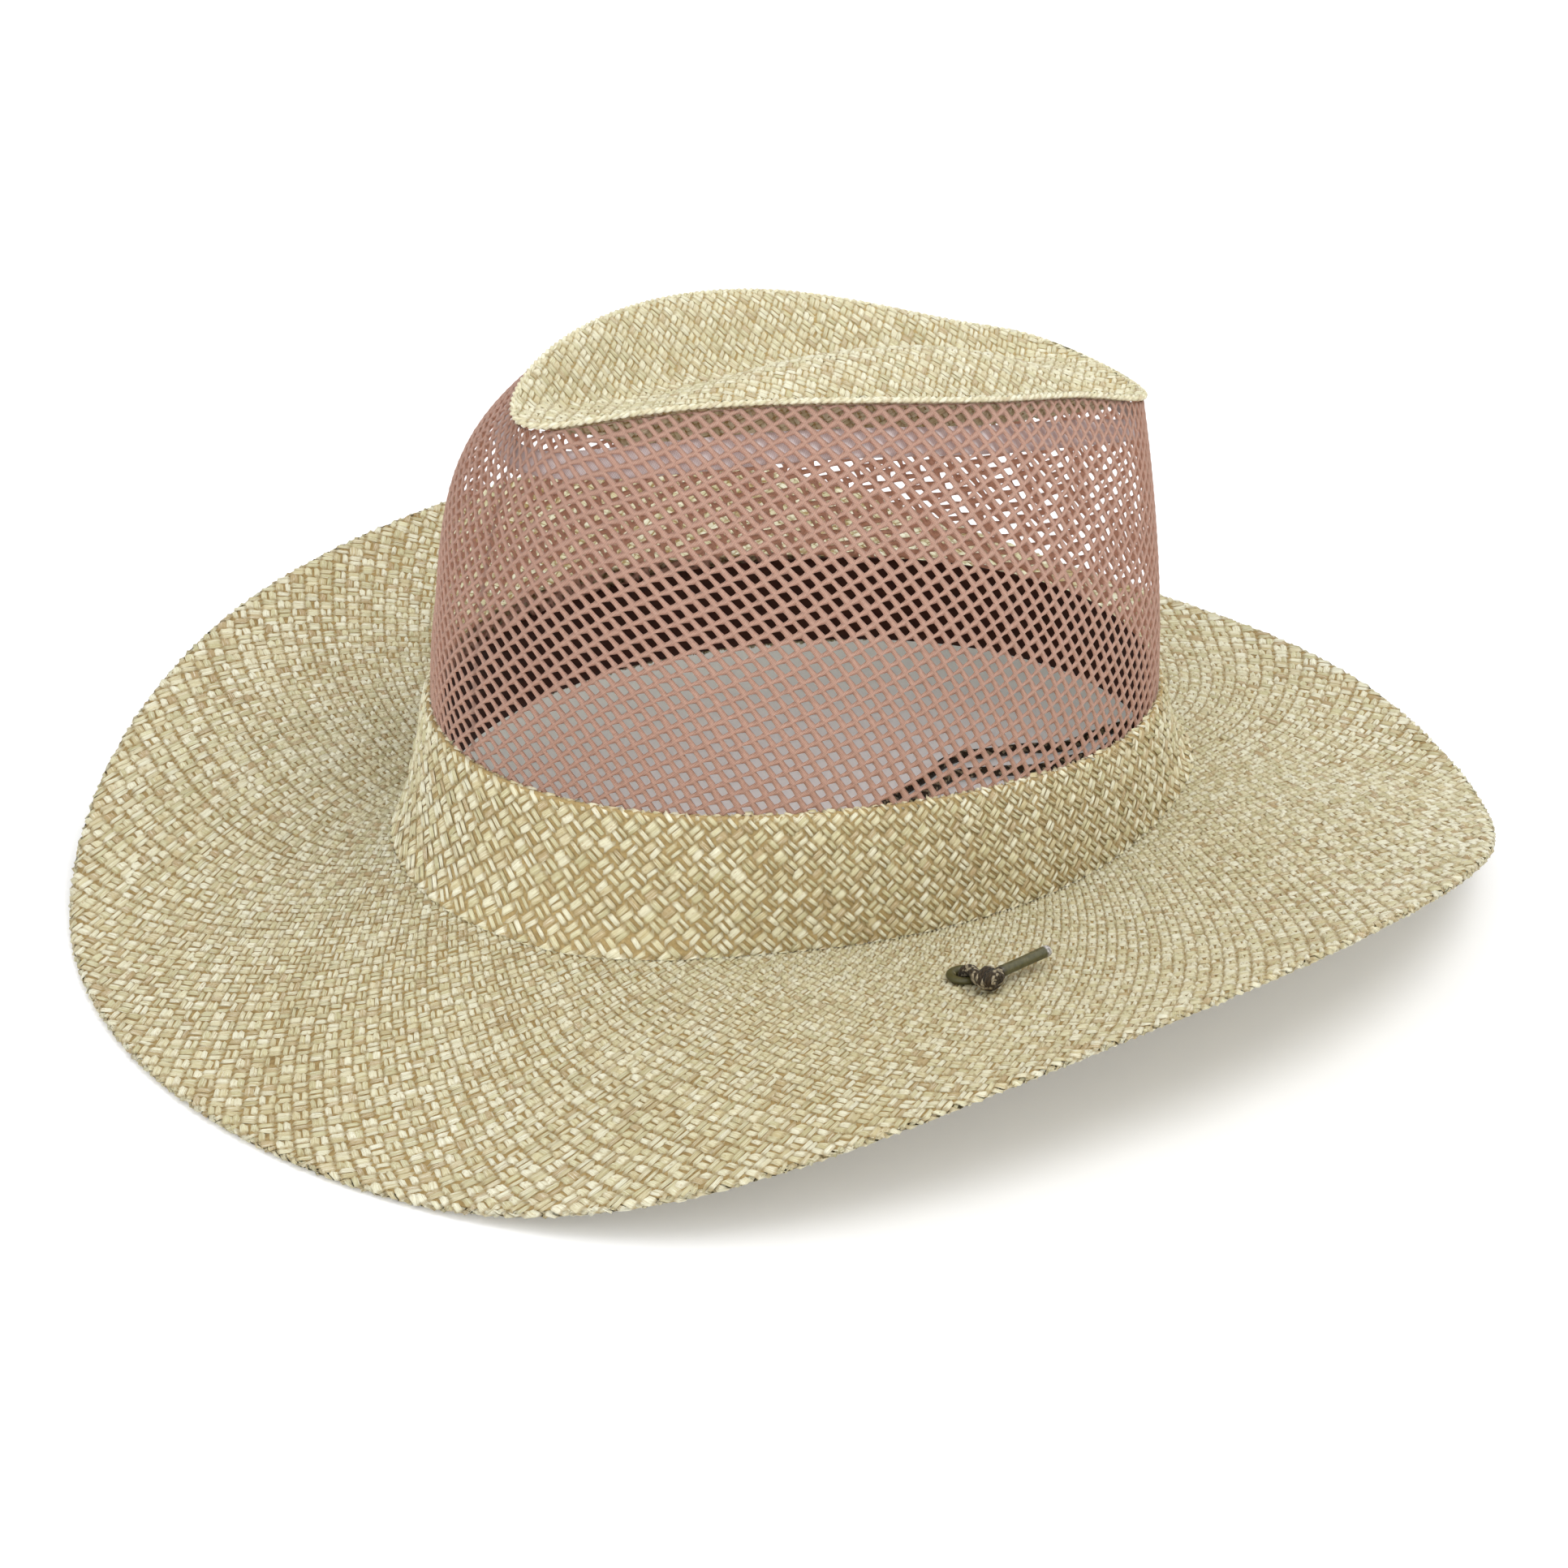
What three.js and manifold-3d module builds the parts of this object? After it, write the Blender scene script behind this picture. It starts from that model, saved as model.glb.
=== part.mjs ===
// Woven-straw sun hat with an open mesh crown side, a straw crown tip with a
// teardrop dent, an inner sweatband and a chin cord knotted through two brim
// eyelets. Millimetres, +Z up, front of the hat toward -Y, wearer's left +X,
// mirror plane X = 0. The hat stands on the front and back of its brim.
import * as THREE from 'three';
import Module from 'manifold-3d';

const wasm = await Module();
wasm.setup();
const { Manifold, Mesh } = wasm;

// ---- driving dimensions -------------------------------------------------
const DIVISIONS = 60;            // facets round the hat
const FRAME_SHIFT_Y = 3.0;       // centres the brim's length on the origin
const HEAD_HALF_WIDTH = 83.2;    // crown foot ellipse, across
const HEAD_HALF_LENGTH = 108.8;  // crown foot ellipse, front to back
const STRAW_THICK = 1.8;
const HEM_THICK = 3.0;           // turned edge of the brim
const HEM_WIDTH = 5.0;
const MESH_THICK = 1.0;
const SWEAT_THICK = 1.2;
const GAP = 0.3;
const FLOOR_LIFT = 1.5;          // mid surface of the hem above the floor
const MESH_BULGE = 2.17;         // exponent of the mesh wall's inward curve
const SHOULDER = { out: 5.2, at: 40, spread: 26, from: 0.3 };
const MESH_OVERLAP = 5.0;        // mesh edge tucked inside the band
const TIP_CENTRE_Y = 6.3;
const TIP_HALF_LENGTH = 95.6;
const MOAT_AT = 0.6;             // place of the dent's bottom across the tip
const TAPE = { from: 0.89, to: 0.955, thick: 0.7 };  // share of the mesh wall's height
const CORD_DIAMETER = 3.0;
const CORD_STEPS = 80;
const EYELET = { x: 107.5, y: -31.3, flange: 4.55, barrel: 2.9, bore: 2.15, thick: 1.3, under: 0.8 };
const KNOT = { out: 10.3, along: -0.4, up: 4.6, ry: 3.9, rz: 3.05 };   // beside its eyelet, outward
const AGLET = { radius: 1.55, length: 17.0, x: 9.1, y: 3.85, turn: -0.085, lift: 0.023 };

// brim edge, crown foot, band edge, sweatband edge and tip edge as cosine
// series of the angle from the front: value = sum(row[k] * cos(k * angle))
const SERIES = {
  rimRadius:   [184.76, 3.20, 11.12, 0.93, -1.79, -1.12, 0.83],
  rimHeight:   [18.51, -2.22, -21.51, 1.95, 1.44, 0.31, 2.17],
  footHeight:  [24.14, 4.38, -0.55],
  bandHeight:  [55.29, 10.59, -1.56],
  sweatHeight: [52.80, 5.30, -0.26],
  tipHeight:   [145.15, 20.13, -6.89, -1.61, -0.26, -0.31],
};
// half width of the crown tip against the angle round it
const TIP_WIDTH = [
  { angle: 0, half: 0 }, { angle: 20, half: 10.4 }, { angle: 45, half: 23.7 },
  { angle: 75, half: 38.25 }, { angle: 105, half: 40.95 }, { angle: 135, half: 29.0 },
  { angle: 160, half: 23.4 }, { angle: 180, half: 0 },
];
// depth below the tip's ridge along its length: raised centre and dent bottom
const DENT = [
  { y: -89.3, centre: 0, moat: 0 }, { y: -80, centre: 5, moat: 5 },
  { y: -64, centre: 12, moat: 13 }, { y: -44, centre: 14, moat: 18 },
  { y: -20, centre: 9, moat: 18 }, { y: 0, centre: 5, moat: 17 },
  { y: 20, centre: 2.5, moat: 15 }, { y: 42, centre: 0.5, moat: 13 },
  { y: 62, centre: 0.5, moat: 11 }, { y: 82, centre: 2.5, moat: 8 },
  { y: 95, centre: 2.0, moat: 3 }, { y: 101.9, centre: 0, moat: 0 },
];
// chin cord on the floor, from the left eyelet to the right one
const CORD_WAY = [
  { x: 103.5, y: -30.5, z: 13.0 }, { x: 97, y: -27, z: 4.6 }, { x: 86, y: -20, z: 1.9 },
  { x: 62, y: -4, z: 1.8 }, { x: 36, y: 16, z: 1.8 }, { x: 12, y: 31, z: 1.8 },
  { x: -4, y: 42, z: 1.8 }, { x: -8, y: 52, z: 1.8 }, { x: -11, y: 63, z: 1.8 },
  { x: -6, y: 74, z: 1.8 }, { x: 0, y: 84, z: 1.8 }, { x: 1.5, y: 95, z: 1.8 },
  { x: 6, y: 108, z: 1.8 }, { x: 7, y: 120, z: 1.8 }, { x: 1, y: 127, z: 1.8 },
  { x: -5, y: 120, z: 1.8 }, { x: -6, y: 108, z: 1.8 }, { x: -6, y: 98, z: 1.8 },
  { x: -12, y: 88, z: 1.8 }, { x: -15, y: 80, z: 1.8 }, { x: -19, y: 70, z: 1.8 },
  { x: -15, y: 55, z: 1.8 }, { x: -12, y: 44, z: 1.8 }, { x: -8, y: 33, z: 1.8 },
  { x: 0, y: 12, z: 1.8 }, { x: 4, y: -20, z: 1.8 }, { x: -6, y: -58, z: 1.8 },
  { x: -38, y: -84, z: 1.8 }, { x: -74, y: -78, z: 1.8 }, { x: -95, y: -56, z: 2.6 },
  { x: -102, y: -38, z: 11.0 },
];
const COLOUR = {
  straw: 0xd8cba0, mesh: 0xbe9683, sweat: 0x241610, tape: 0xb9b2b6,
  metal: 0x3d3f2c, cord: 0x3b3226, aglet: 0x6b6a4a,
};

// ---- curves ---------------------------------------------------------------
const series = (row, a) => row.reduce((s, c, k) => s + c * Math.cos(k * a), 0);
const ellipse = (a) => 1 / Math.hypot(Math.sin(a) / HEAD_HALF_WIDTH, Math.cos(a) / HEAD_HALF_LENGTH);
const mix = (a, b, t) => a + (b - a) * t;
const smooth = (t) => { const c = Math.min(1, Math.max(0, t)); return c * c * (3 - 2 * c); };
function natural(xs, ys) {               // natural cubic through the rows
  const n = xs.length, m = new Array(n).fill(0), l = [1], mu = [0], z = [0];
  for (let i = 1; i < n - 1; i++) {
    const h0 = xs[i] - xs[i - 1], h1 = xs[i + 1] - xs[i];
    const al = 3 * ((ys[i + 1] - ys[i]) / h1 - (ys[i] - ys[i - 1]) / h0);
    l[i] = 2 * (xs[i + 1] - xs[i - 1]) - h0 * mu[i - 1];
    mu[i] = h1 / l[i]; z[i] = (al - h0 * z[i - 1]) / l[i];
  }
  for (let i = n - 2; i > 0; i--) m[i] = z[i] - mu[i] * m[i + 1];
  return (x) => {
    let i = 0; while (i < n - 2 && x > xs[i + 1]) i++;
    const h = xs[i + 1] - xs[i], t = Math.min(Math.max(x, xs[0]), xs[n - 1]) - xs[i];
    const b = (ys[i + 1] - ys[i]) / h - h * (2 * m[i] + m[i + 1]) / 3;
    return ys[i] + t * (b + t * (m[i] + t * (m[i + 1] - m[i]) / (3 * h)));
  };
}
const linear = (rows, key) => (x) => {
  let i = 0; while (i < rows.length - 2 && x > rows[i + 1].y) i++;
  const a = rows[i], b = rows[i + 1];
  return mix(a[key], b[key], smooth((x - a.y) / (b.y - a.y)) * 0.5 + 0.5 * Math.min(1, Math.max(0, (x - a.y) / (b.y - a.y))));
};
const tipWidth = natural(TIP_WIDTH.map((r) => r.angle * Math.PI / 180), TIP_WIDTH.map((r) => r.half));
const dentCentre = linear(DENT, 'centre'), dentMoat = linear(DENT, 'moat');
const tipEdge = (a) => {                  // edge of the tip at angle a, -pi..pi
  const h = Math.abs(a), s = a < 0 ? -1 : 1;
  return new THREE.Vector3(s * Math.max(0, tipWidth(h)), TIP_CENTRE_Y - TIP_HALF_LENGTH * Math.cos(h), series(SERIES.tipHeight, h));
};
const angleAtY = (y) => Math.acos(Math.min(1, Math.max(-1, (TIP_CENTRE_Y - y) / TIP_HALF_LENGTH)));

// ---- surfaces -------------------------------------------------------------
const sideness = (a) => smooth((Math.abs(Math.sin(a)) - 0.3) / 0.5);
const flare = (a) => 7 * (1 - sideness(a));
const footRadius = (a) => ellipse(a) + 1.5;
// outer face of the lower crown band: t 0 at the brim, 1 at its top edge
function bandPoint(a, t, inset) {
  const top = ellipse(a) - mix(1.49, 2.71, Math.sin(a) ** 2);
  const r = mix(footRadius(a), top, t) + flare(a) * (1 - t) ** 4 + 0.9 * Math.sin(Math.PI * t) - inset;
  const z = mix(series(SERIES.footHeight, a), series(SERIES.bandHeight, a), t);
  return new THREE.Vector3(r * Math.sin(a), -r * Math.cos(a), z);
}
// mid surface of the brim: s 0 at the crown, 1 at the edge
function brimPoint(a, s) {
  const r0 = footRadius(a) + flare(a) - STRAW_THICK / 2, r1 = series(SERIES.rimRadius, a);
  const z0 = series(SERIES.footHeight, a) - STRAW_THICK / 2 - GAP;
  const z1 = Math.max(series(SERIES.rimHeight, a) - 0.6, 0) + FLOOR_LIFT;
  const side = s ** 1.9 - 0.06 * Math.sin(Math.PI * s), front = 1 - (1 - s) ** 1.7;
  const r = mix(r0, r1, s);
  return new THREE.Vector3(r * Math.sin(a), -r * Math.cos(a), mix(z0, z1, mix(front, side, sideness(a))));
}
// the mesh stands out in a soft shoulder beside the pinched front of the tip
const shoulder = (a, t) => {
  const c = Math.min(1, Math.max(0, (t - SHOULDER.from) / (1.03 - SHOULDER.from)));
  return SHOULDER.out * Math.exp(-(((Math.abs(a) * 180 / Math.PI - SHOULDER.at) / SHOULDER.spread) ** 2)) * Math.sin(Math.PI * c ** 1.3);
};
// outer face of the mesh wall: t 0 at the band's top, 1 at the tip
function wallPoint(a, t) {
  const foot = bandPoint(a, 1, STRAW_THICK + GAP), top = tipEdge(a), g = t ** MESH_BULGE, w = shoulder(a, t);
  return new THREE.Vector3(mix(foot.x, top.x, g) + w * Math.sin(a), mix(foot.y, top.y, g) - w * Math.cos(a), mix(foot.z, top.z - 2.2, t));
}
// top face of the crown tip: q 1 at its edge, 0 at its middle
function tipPoint(a, q) {
  const e = tipEdge(a);
  const x = e.x * q, y = mix(TIP_CENTRE_Y, e.y, q), at = angleAtY(y);
  const w = Math.max(Math.abs(tipWidth(at)), 1e-3), c = Math.min(1, Math.abs(x) / w);
  const ridge = series(SERIES.tipHeight, at), centre = dentCentre(y), moat = dentMoat(y);
  const drop = c > MOAT_AT ? moat * smooth((1 - c) / (1 - MOAT_AT)) : mix(moat, centre, smooth((MOAT_AT - c) / MOAT_AT));
  return new THREE.Vector3(x, y, ridge - drop);
}

// ---- solids ---------------------------------------------------------------
const ANGLES = Array.from({ length: DIVISIONS }, (_, i) => -Math.PI + 2 * Math.PI * (i + 0.5) / DIVISIONS);
function finish(points, faces) {
  const g = new THREE.BufferGeometry();
  let v = 0;
  for (const [i, j, k] of faces) v += points[i].dot(points[j].clone().cross(points[k]));
  const idx = v < 0 ? faces.map(([i, j, k]) => [i, k, j]) : faces;
  g.setAttribute('position', new THREE.Float32BufferAttribute(points.flatMap((p) => [p.x, p.y, p.z]), 3));
  g.setIndex(idx.flat());
  g.computeVertexNormals();
  return g;
}
function joinLoops(faces, base0, base1, n) {
  for (let i = 0; i < n; i++) {
    const a = base0 + i, b = base0 + (i + 1) % n, c = base1 + i, d = base1 + (i + 1) % n;
    faces.push([a, b, d], [a, d, c]);
  }
}
// loops joined one after the other, last back to first
function ringSolid(loops) {
  const n = loops[0].length, faces = [];
  loops.forEach((_, k) => joinLoops(faces, k * n, ((k + 1) % loops.length) * n, n));
  return finish(loops.flat(), faces);
}
// loops from the top's middle over the edge to the underside's middle
function discSolid(top, loops, bottom) {
  const n = loops[0].length, points = [...loops.flat(), top, bottom], faces = [];
  for (let k = 0; k + 1 < loops.length; k++) joinLoops(faces, k * n, (k + 1) * n, n);
  const last = (loops.length - 1) * n;
  for (let i = 0; i < n; i++) {
    faces.push([points.length - 2, (i + 1) % n, i]);
    faces.push([points.length - 1, last + i, last + (i + 1) % n]);
  }
  return finish(points, faces);
}
// both faces of a wall of the given thickness about its mid surface
function thicken(surface, params, thickness) {
  const up = [], down = [];
  for (const s of params) {
    const t = thickness(s) / 2, u = [], d = [];
    for (const a of ANGLES) {
      const e = 1e-3, p = surface(a, s);
      const ds = surface(a, Math.min(1, s + e)).sub(surface(a, Math.max(0, s - e)));
      const da = surface(a + e, s).sub(surface(a - e, s));
      const n = da.cross(ds).normalize();
      if (n.z < 0) n.negate();
      u.push(p.clone().addScaledVector(n, t)); d.push(p.clone().addScaledVector(n, -t));
    }
    up.push(u); down.push(d);
  }
  return [...up, ...down.reverse()];
}
const steps = (n, power = 1) => Array.from({ length: n + 1 }, (_, i) => (i / n) ** power);

// brim with its thicker turned edge
function brimSolid() {
  const hem = 1 - HEM_WIDTH / 90;
  const params = [...steps(7).map((t) => t * (hem - 0.012)), hem, 0.985, 1];
  return ringSolid(thicken(brimPoint, params, (s) => (s >= 1 ? HEM_THICK * 0.55 : s >= hem ? HEM_THICK : STRAW_THICK)));
}
function bandSolid() {
  const outer = steps(4).map((t) => ANGLES.map((a) => bandPoint(a, t, 0)));
  const inner = steps(4).map((t) => ANGLES.map((a) => bandPoint(a, t, STRAW_THICK)));
  for (const loop of [outer[0], inner[0]]) loop.forEach((p) => { p.z += GAP; });
  return ringSolid([...outer, ...inner.reverse()]);
}
function meshSolid() {
  const tuck = (a, inset) => {
    const h = series(SERIES.bandHeight, a) - series(SERIES.footHeight, a);
    return bandPoint(a, 1 - MESH_OVERLAP / h, STRAW_THICK + GAP + inset);
  };
  const params = [0, 0.2, 0.4, 0.58, 0.74, 0.88, 1];
  const outer = [ANGLES.map((a) => tuck(a, 0)), ...params.map((t) => ANGLES.map((a) => wallPoint(a, t)))];
  const inner = [ANGLES.map((a) => tuck(a, MESH_THICK)), ...params.map((t) => ANGLES.map((a) => {
    const e = 1e-3, p = wallPoint(a, t);
    const dt = wallPoint(a, Math.min(1, t + e)).sub(wallPoint(a, Math.max(0, t - e)));
    const n = wallPoint(a + e, t).sub(wallPoint(a - e, t)).cross(dt).normalize();
    if (n.x * Math.sin(a) - n.y * Math.cos(a) > 0) n.negate();
    if (t === 0) { n.z = 0; n.normalize(); }
    return p.addScaledVector(n, MESH_THICK);
  }))];
  return ringSolid([...outer, ...inner.reverse()]);
}
function tipSolid() {
  const rows = [0.12, 0.26, 0.4, 0.5, 0.6, 0.7, 0.8, 0.9, 0.965, 1];
  const top = rows.map((q) => ANGLES.map((a) => tipPoint(a, q)));
  const under = rows.map((q) => ANGLES.map((a) => {
    const p = tipPoint(a, Math.min(q, 0.985));
    return p.add(new THREE.Vector3(0, 0, -STRAW_THICK));
  }));
  return discSolid(tipPoint(0, 0), [...top, ...under.reverse()], tipPoint(0, 0).add(new THREE.Vector3(0, 0, -STRAW_THICK)));
}
// thin tape along the seam under the tip's edge, on the inside of the mesh
function tapeSolid() {
  const ring = (t, inset) => ANGLES.map((a) => {
    const e = 1e-3, p = wallPoint(a, t);
    const n = wallPoint(a + e, t).sub(wallPoint(a - e, t)).cross(wallPoint(a, t + e).sub(wallPoint(a, t - e))).normalize();
    if (n.x * Math.sin(a) - n.y * Math.cos(a) > 0) n.negate();
    return p.addScaledVector(n, MESH_THICK + 3 * GAP + inset);
  });
  const params = [TAPE.from, (TAPE.from + TAPE.to) / 2, TAPE.to];
  return ringSolid([...params.map((t) => ring(t, 0)), ...params.map((t) => ring(t, TAPE.thick)).reverse()]);
}
function sweatSolid() {
  const face = (a, t, extra) => {
    const foot = series(SERIES.footHeight, a) + 1, z = mix(foot, series(SERIES.sweatHeight, a), t);
    const bt = (z - series(SERIES.footHeight, a)) / (series(SERIES.bandHeight, a) - series(SERIES.footHeight, a));
    const clear = STRAW_THICK + GAP + MESH_THICK + GAP + extra;
    const p = bandPoint(a, bt, clear + flare(a) * (1 - bt) ** 4);
    p.z = z;
    return p;
  };
  const outer = steps(3).map((t) => ANGLES.map((a) => face(a, t, 0)));
  const inner = steps(3).map((t) => ANGLES.map((a) => face(a, t, SWEAT_THICK)));
  return ringSolid([...outer, ...inner.reverse()]);
}

// ---- eyelets, cord and its ends -------------------------------------------
function eyeletFrame(side) {              // seat of an eyelet on the brim
  const a = Math.atan2(EYELET.x, -EYELET.y), r = Math.hypot(EYELET.x, EYELET.y);
  let lo = 0, hi = 1;
  for (let i = 0; i < 40; i++) {
    const m = (lo + hi) / 2, p = brimPoint(a, m);
    if (Math.hypot(p.x, p.y) < r) lo = m; else hi = m;
  }
  const e = 1e-3, p = brimPoint(a, lo);
  const n = brimPoint(a + e, lo).sub(brimPoint(a - e, lo)).cross(brimPoint(a, lo + e).sub(brimPoint(a, lo - e))).normalize();
  if (n.z < 0) n.negate();
  const y = new THREE.Vector3(0, 1, 0).addScaledVector(n, -n.y).normalize();
  const x = new THREE.Vector3().crossVectors(y, n);
  const frame = new THREE.Matrix4().makeBasis(x, y, n).setPosition(p);
  if (side > 0) return frame;
  const flip = (v) => new THREE.Vector3(-v.x, v.y, v.z);
  return new THREE.Matrix4().makeBasis(flip(x).negate(), flip(y), flip(n)).setPosition(flip(p));
}
const at = (frame, x, y, z) => new THREE.Vector3(x, y, z).applyMatrix4(frame);
function lathe(profile, segments) {
  const n = segments, loops = profile.map(([r, z]) => Array.from({ length: n }, (_, i) => {
    const b = 2 * Math.PI * i / n;
    return new THREE.Vector3(r * Math.cos(b), r * Math.sin(b), z);
  }));
  return ringSolid(loops);
}
function eyeletSolid(side) {
  const h = STRAW_THICK / 2 + GAP, t = EYELET.thick, f = EYELET.flange, u = EYELET.under, b = EYELET.bore;
  return lathe([[b, -h - u], [f - 0.5, -h - u], [f - 0.5, -h], [EYELET.barrel, -h], [EYELET.barrel, h],
    [f, h], [f, h + 0.45], [f - 0.45, h + 1.05], [f - 1.2, h + t], [b + 0.45, h + 1.05], [b, h + 0.5]], 20).applyMatrix4(eyeletFrame(side));
}
// stopper knot: the cord's end bends out of the eyelet over its flange into a
// flattened ball. Rows: outward, up, degrees from upright, half width, half height
function knotSolid(side) {
  const { out, along, up, ry, rz } = KNOT, n = 14;
  const rows = [[0, 2.65, 0, 1.45, 1.45], [0.3, 3.4, 30, 1.45, 1.45], [1.3, 4.15, 64, 1.45, 1.45], [3.0, up - 0.25, 86, 1.5, 1.5],
    [5.7, up, 90, 1.65, 1.55], [out - 3.1, up, 90, ry * 0.72, rz * 0.76], [out - 1.7, up, 90, ry * 0.95, rz * 0.96],
    [out, up, 90, ry, rz], [out + 1.9, up, 90, ry * 0.86, rz * 0.88], [out + 3.3, up, 90, ry * 0.5, rz * 0.52]];
  const place = (x, y, z) => new THREE.Vector3(side * x, y + along * Math.min(1, x / 8), z);
  const loops = rows.map(([x, z, tilt, wide, high]) => Array.from({ length: n }, (_, i) => {
    const b = 2 * Math.PI * i / n, t = tilt * Math.PI / 180;
    return place(x + high * Math.sin(b) * Math.cos(t), wide * Math.cos(b), z - high * Math.sin(b) * Math.sin(t));
  }));
  return discSolid(place(0, 0, 2.65), loops, place(out + 3.8, 0, up)).applyMatrix4(eyeletFrame(side));
}
function agletSolid(side) {               // stiff tip of the cord past the knot
  const { radius, length, x, y, turn, lift } = AGLET, n = 12;
  const mid = (k) => new THREE.Vector3(side * (x + turn * k), y + k, KNOT.up + lift * k);
  const loops = [0, length].map((k) => Array.from({ length: n }, (_, i) => {
    const b = 2 * Math.PI * i / n;
    return mid(k).add(new THREE.Vector3(radius * Math.cos(b), 0, radius * Math.sin(b)));
  }));
  return discSolid(mid(0), loops, mid(length)).applyMatrix4(eyeletFrame(side));
}
function cordSolid() {
  const l = eyeletFrame(1), r = eyeletFrame(-1);
  const rise = (f) => [at(f, 0, 0, 2.3), at(f, 0, 0, 0.4), at(f, 0, 0, -2.6), at(f, 0, 0, -6.5)];
  const pts = [...rise(l), ...CORD_WAY.map((p) => new THREE.Vector3(p.x, p.y, p.z)), ...rise(r).reverse()];
  const path = new THREE.CatmullRomCurve3(pts, false, 'centripetal');
  const shape = new THREE.Shape();
  for (let i = 0; i < 8; i++) {
    const b = 2 * Math.PI * i / 8, q = CORD_DIAMETER / 2;
    if (i) shape.lineTo(q * Math.cos(b), q * Math.sin(b)); else shape.moveTo(q, 0);
  }
  shape.closePath();
  return new THREE.ExtrudeGeometry(shape, { steps: CORD_STEPS, bevelEnabled: false, extrudePath: path });
}

// ---- eyelet holes cut through the brim --------------------------------------
function toManifold(g) {
  return new Manifold(new Mesh({ numProp: 3, vertProperties: Float32Array.from(g.attributes.position.array), triVerts: Uint32Array.from(g.index.array) }));
}
function fromManifold(m) {
  const r = m.getMesh(), g = new THREE.BufferGeometry();
  g.setAttribute('position', new THREE.Float32BufferAttribute(Float32Array.from(r.vertProperties), 3));
  g.setIndex(Array.from(r.triVerts));
  g.computeVertexNormals();
  return g;
}
function brimWithHoles() {
  let brim = toManifold(brimSolid());
  for (const side of [1, -1]) {
    const pin = Manifold.cylinder(8, EYELET.barrel + GAP, EYELET.barrel + GAP, 20, true);
    brim = brim.subtract(pin.transform(eyeletFrame(side).toArray()));
  }
  return fromManifold(brim);
}

// ---- assembly ---------------------------------------------------------------
const hat = new THREE.Group();
hat.name = 'fishing_hat';
function add(name, geometry, colour, roughness, metalness = 0) {
  geometry.translate(0, FRAME_SHIFT_Y, 0);
  const mesh = new THREE.Mesh(geometry, new THREE.MeshStandardMaterial({ color: colour, roughness, metalness }));
  mesh.name = name;
  hat.add(mesh);
}
add('brim', brimWithHoles(), COLOUR.straw, 0.85);
add('crown_band', bandSolid(), COLOUR.straw, 0.85);
add('crown_mesh', meshSolid(), COLOUR.mesh, 0.8);
add('crown_tip', tipSolid(), COLOUR.straw, 0.85);
add('crown_tape', tapeSolid(), COLOUR.tape, 0.8);
add('sweatband', sweatSolid(), COLOUR.sweat, 0.7);
add('eyelet_left', eyeletSolid(1), COLOUR.metal, 0.4, 0.8);
add('eyelet_right', eyeletSolid(-1), COLOUR.metal, 0.4, 0.8);
add('cord_knot_left', knotSolid(1), COLOUR.cord, 0.9);
add('cord_knot_right', knotSolid(-1), COLOUR.cord, 0.9);
add('cord_aglet_left', agletSolid(1), COLOUR.aglet, 0.5);
add('cord_aglet_right', agletSolid(-1), COLOUR.aglet, 0.5);
add('chin_cord', cordSolid(), COLOUR.cord, 0.9);

export default hat;
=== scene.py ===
import math
import bpy
import numpy as np
from mathutils import Matrix, Vector


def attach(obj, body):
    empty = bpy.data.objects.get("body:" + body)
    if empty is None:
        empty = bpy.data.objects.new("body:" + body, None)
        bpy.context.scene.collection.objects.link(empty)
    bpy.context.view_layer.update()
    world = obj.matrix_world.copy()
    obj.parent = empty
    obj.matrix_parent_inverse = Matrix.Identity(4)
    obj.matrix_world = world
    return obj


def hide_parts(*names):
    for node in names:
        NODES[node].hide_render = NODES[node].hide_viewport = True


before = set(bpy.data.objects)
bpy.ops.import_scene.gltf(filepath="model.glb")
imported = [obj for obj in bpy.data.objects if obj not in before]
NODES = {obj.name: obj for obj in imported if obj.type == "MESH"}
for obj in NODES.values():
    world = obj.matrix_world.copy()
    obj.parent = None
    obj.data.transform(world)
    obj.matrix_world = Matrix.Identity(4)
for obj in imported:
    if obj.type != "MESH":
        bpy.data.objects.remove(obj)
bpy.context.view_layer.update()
PI2 = 2 * math.pi
MM = 0.001
SHIFT_Y = 3.0            # the hat's own coordinates are this far forward of the frame's, in mm
rng = np.random.default_rng(41)


def put(p):
    """Points in the hat's own millimetres to the frame's metres."""
    q = np.array(p, dtype=float)
    q[..., 1] += SHIFT_Y
    return q * MM


# ---------------------------------------------------------------- camera
cam_data = bpy.data.cameras.new("camera")
cam_data.sensor_width = 36
cam_data.lens = 132.60
cam_data.clip_start, cam_data.clip_end = 0.05, 60
camera = bpy.data.objects.new("camera", cam_data)
bpy.context.scene.collection.objects.link(camera)
camera.matrix_world = Matrix((
    (0.61165, -0.38259, 0.69247, 1.06381),
    (0.79107, 0.28550, -0.54101, -0.83342),
    (0.00929, 0.87870, 0.47728, 0.75934),
    (0, 0, 0, 1)))
bpy.context.scene.camera = camera
bpy.context.scene.view_settings.view_transform = 'Standard'

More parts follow.
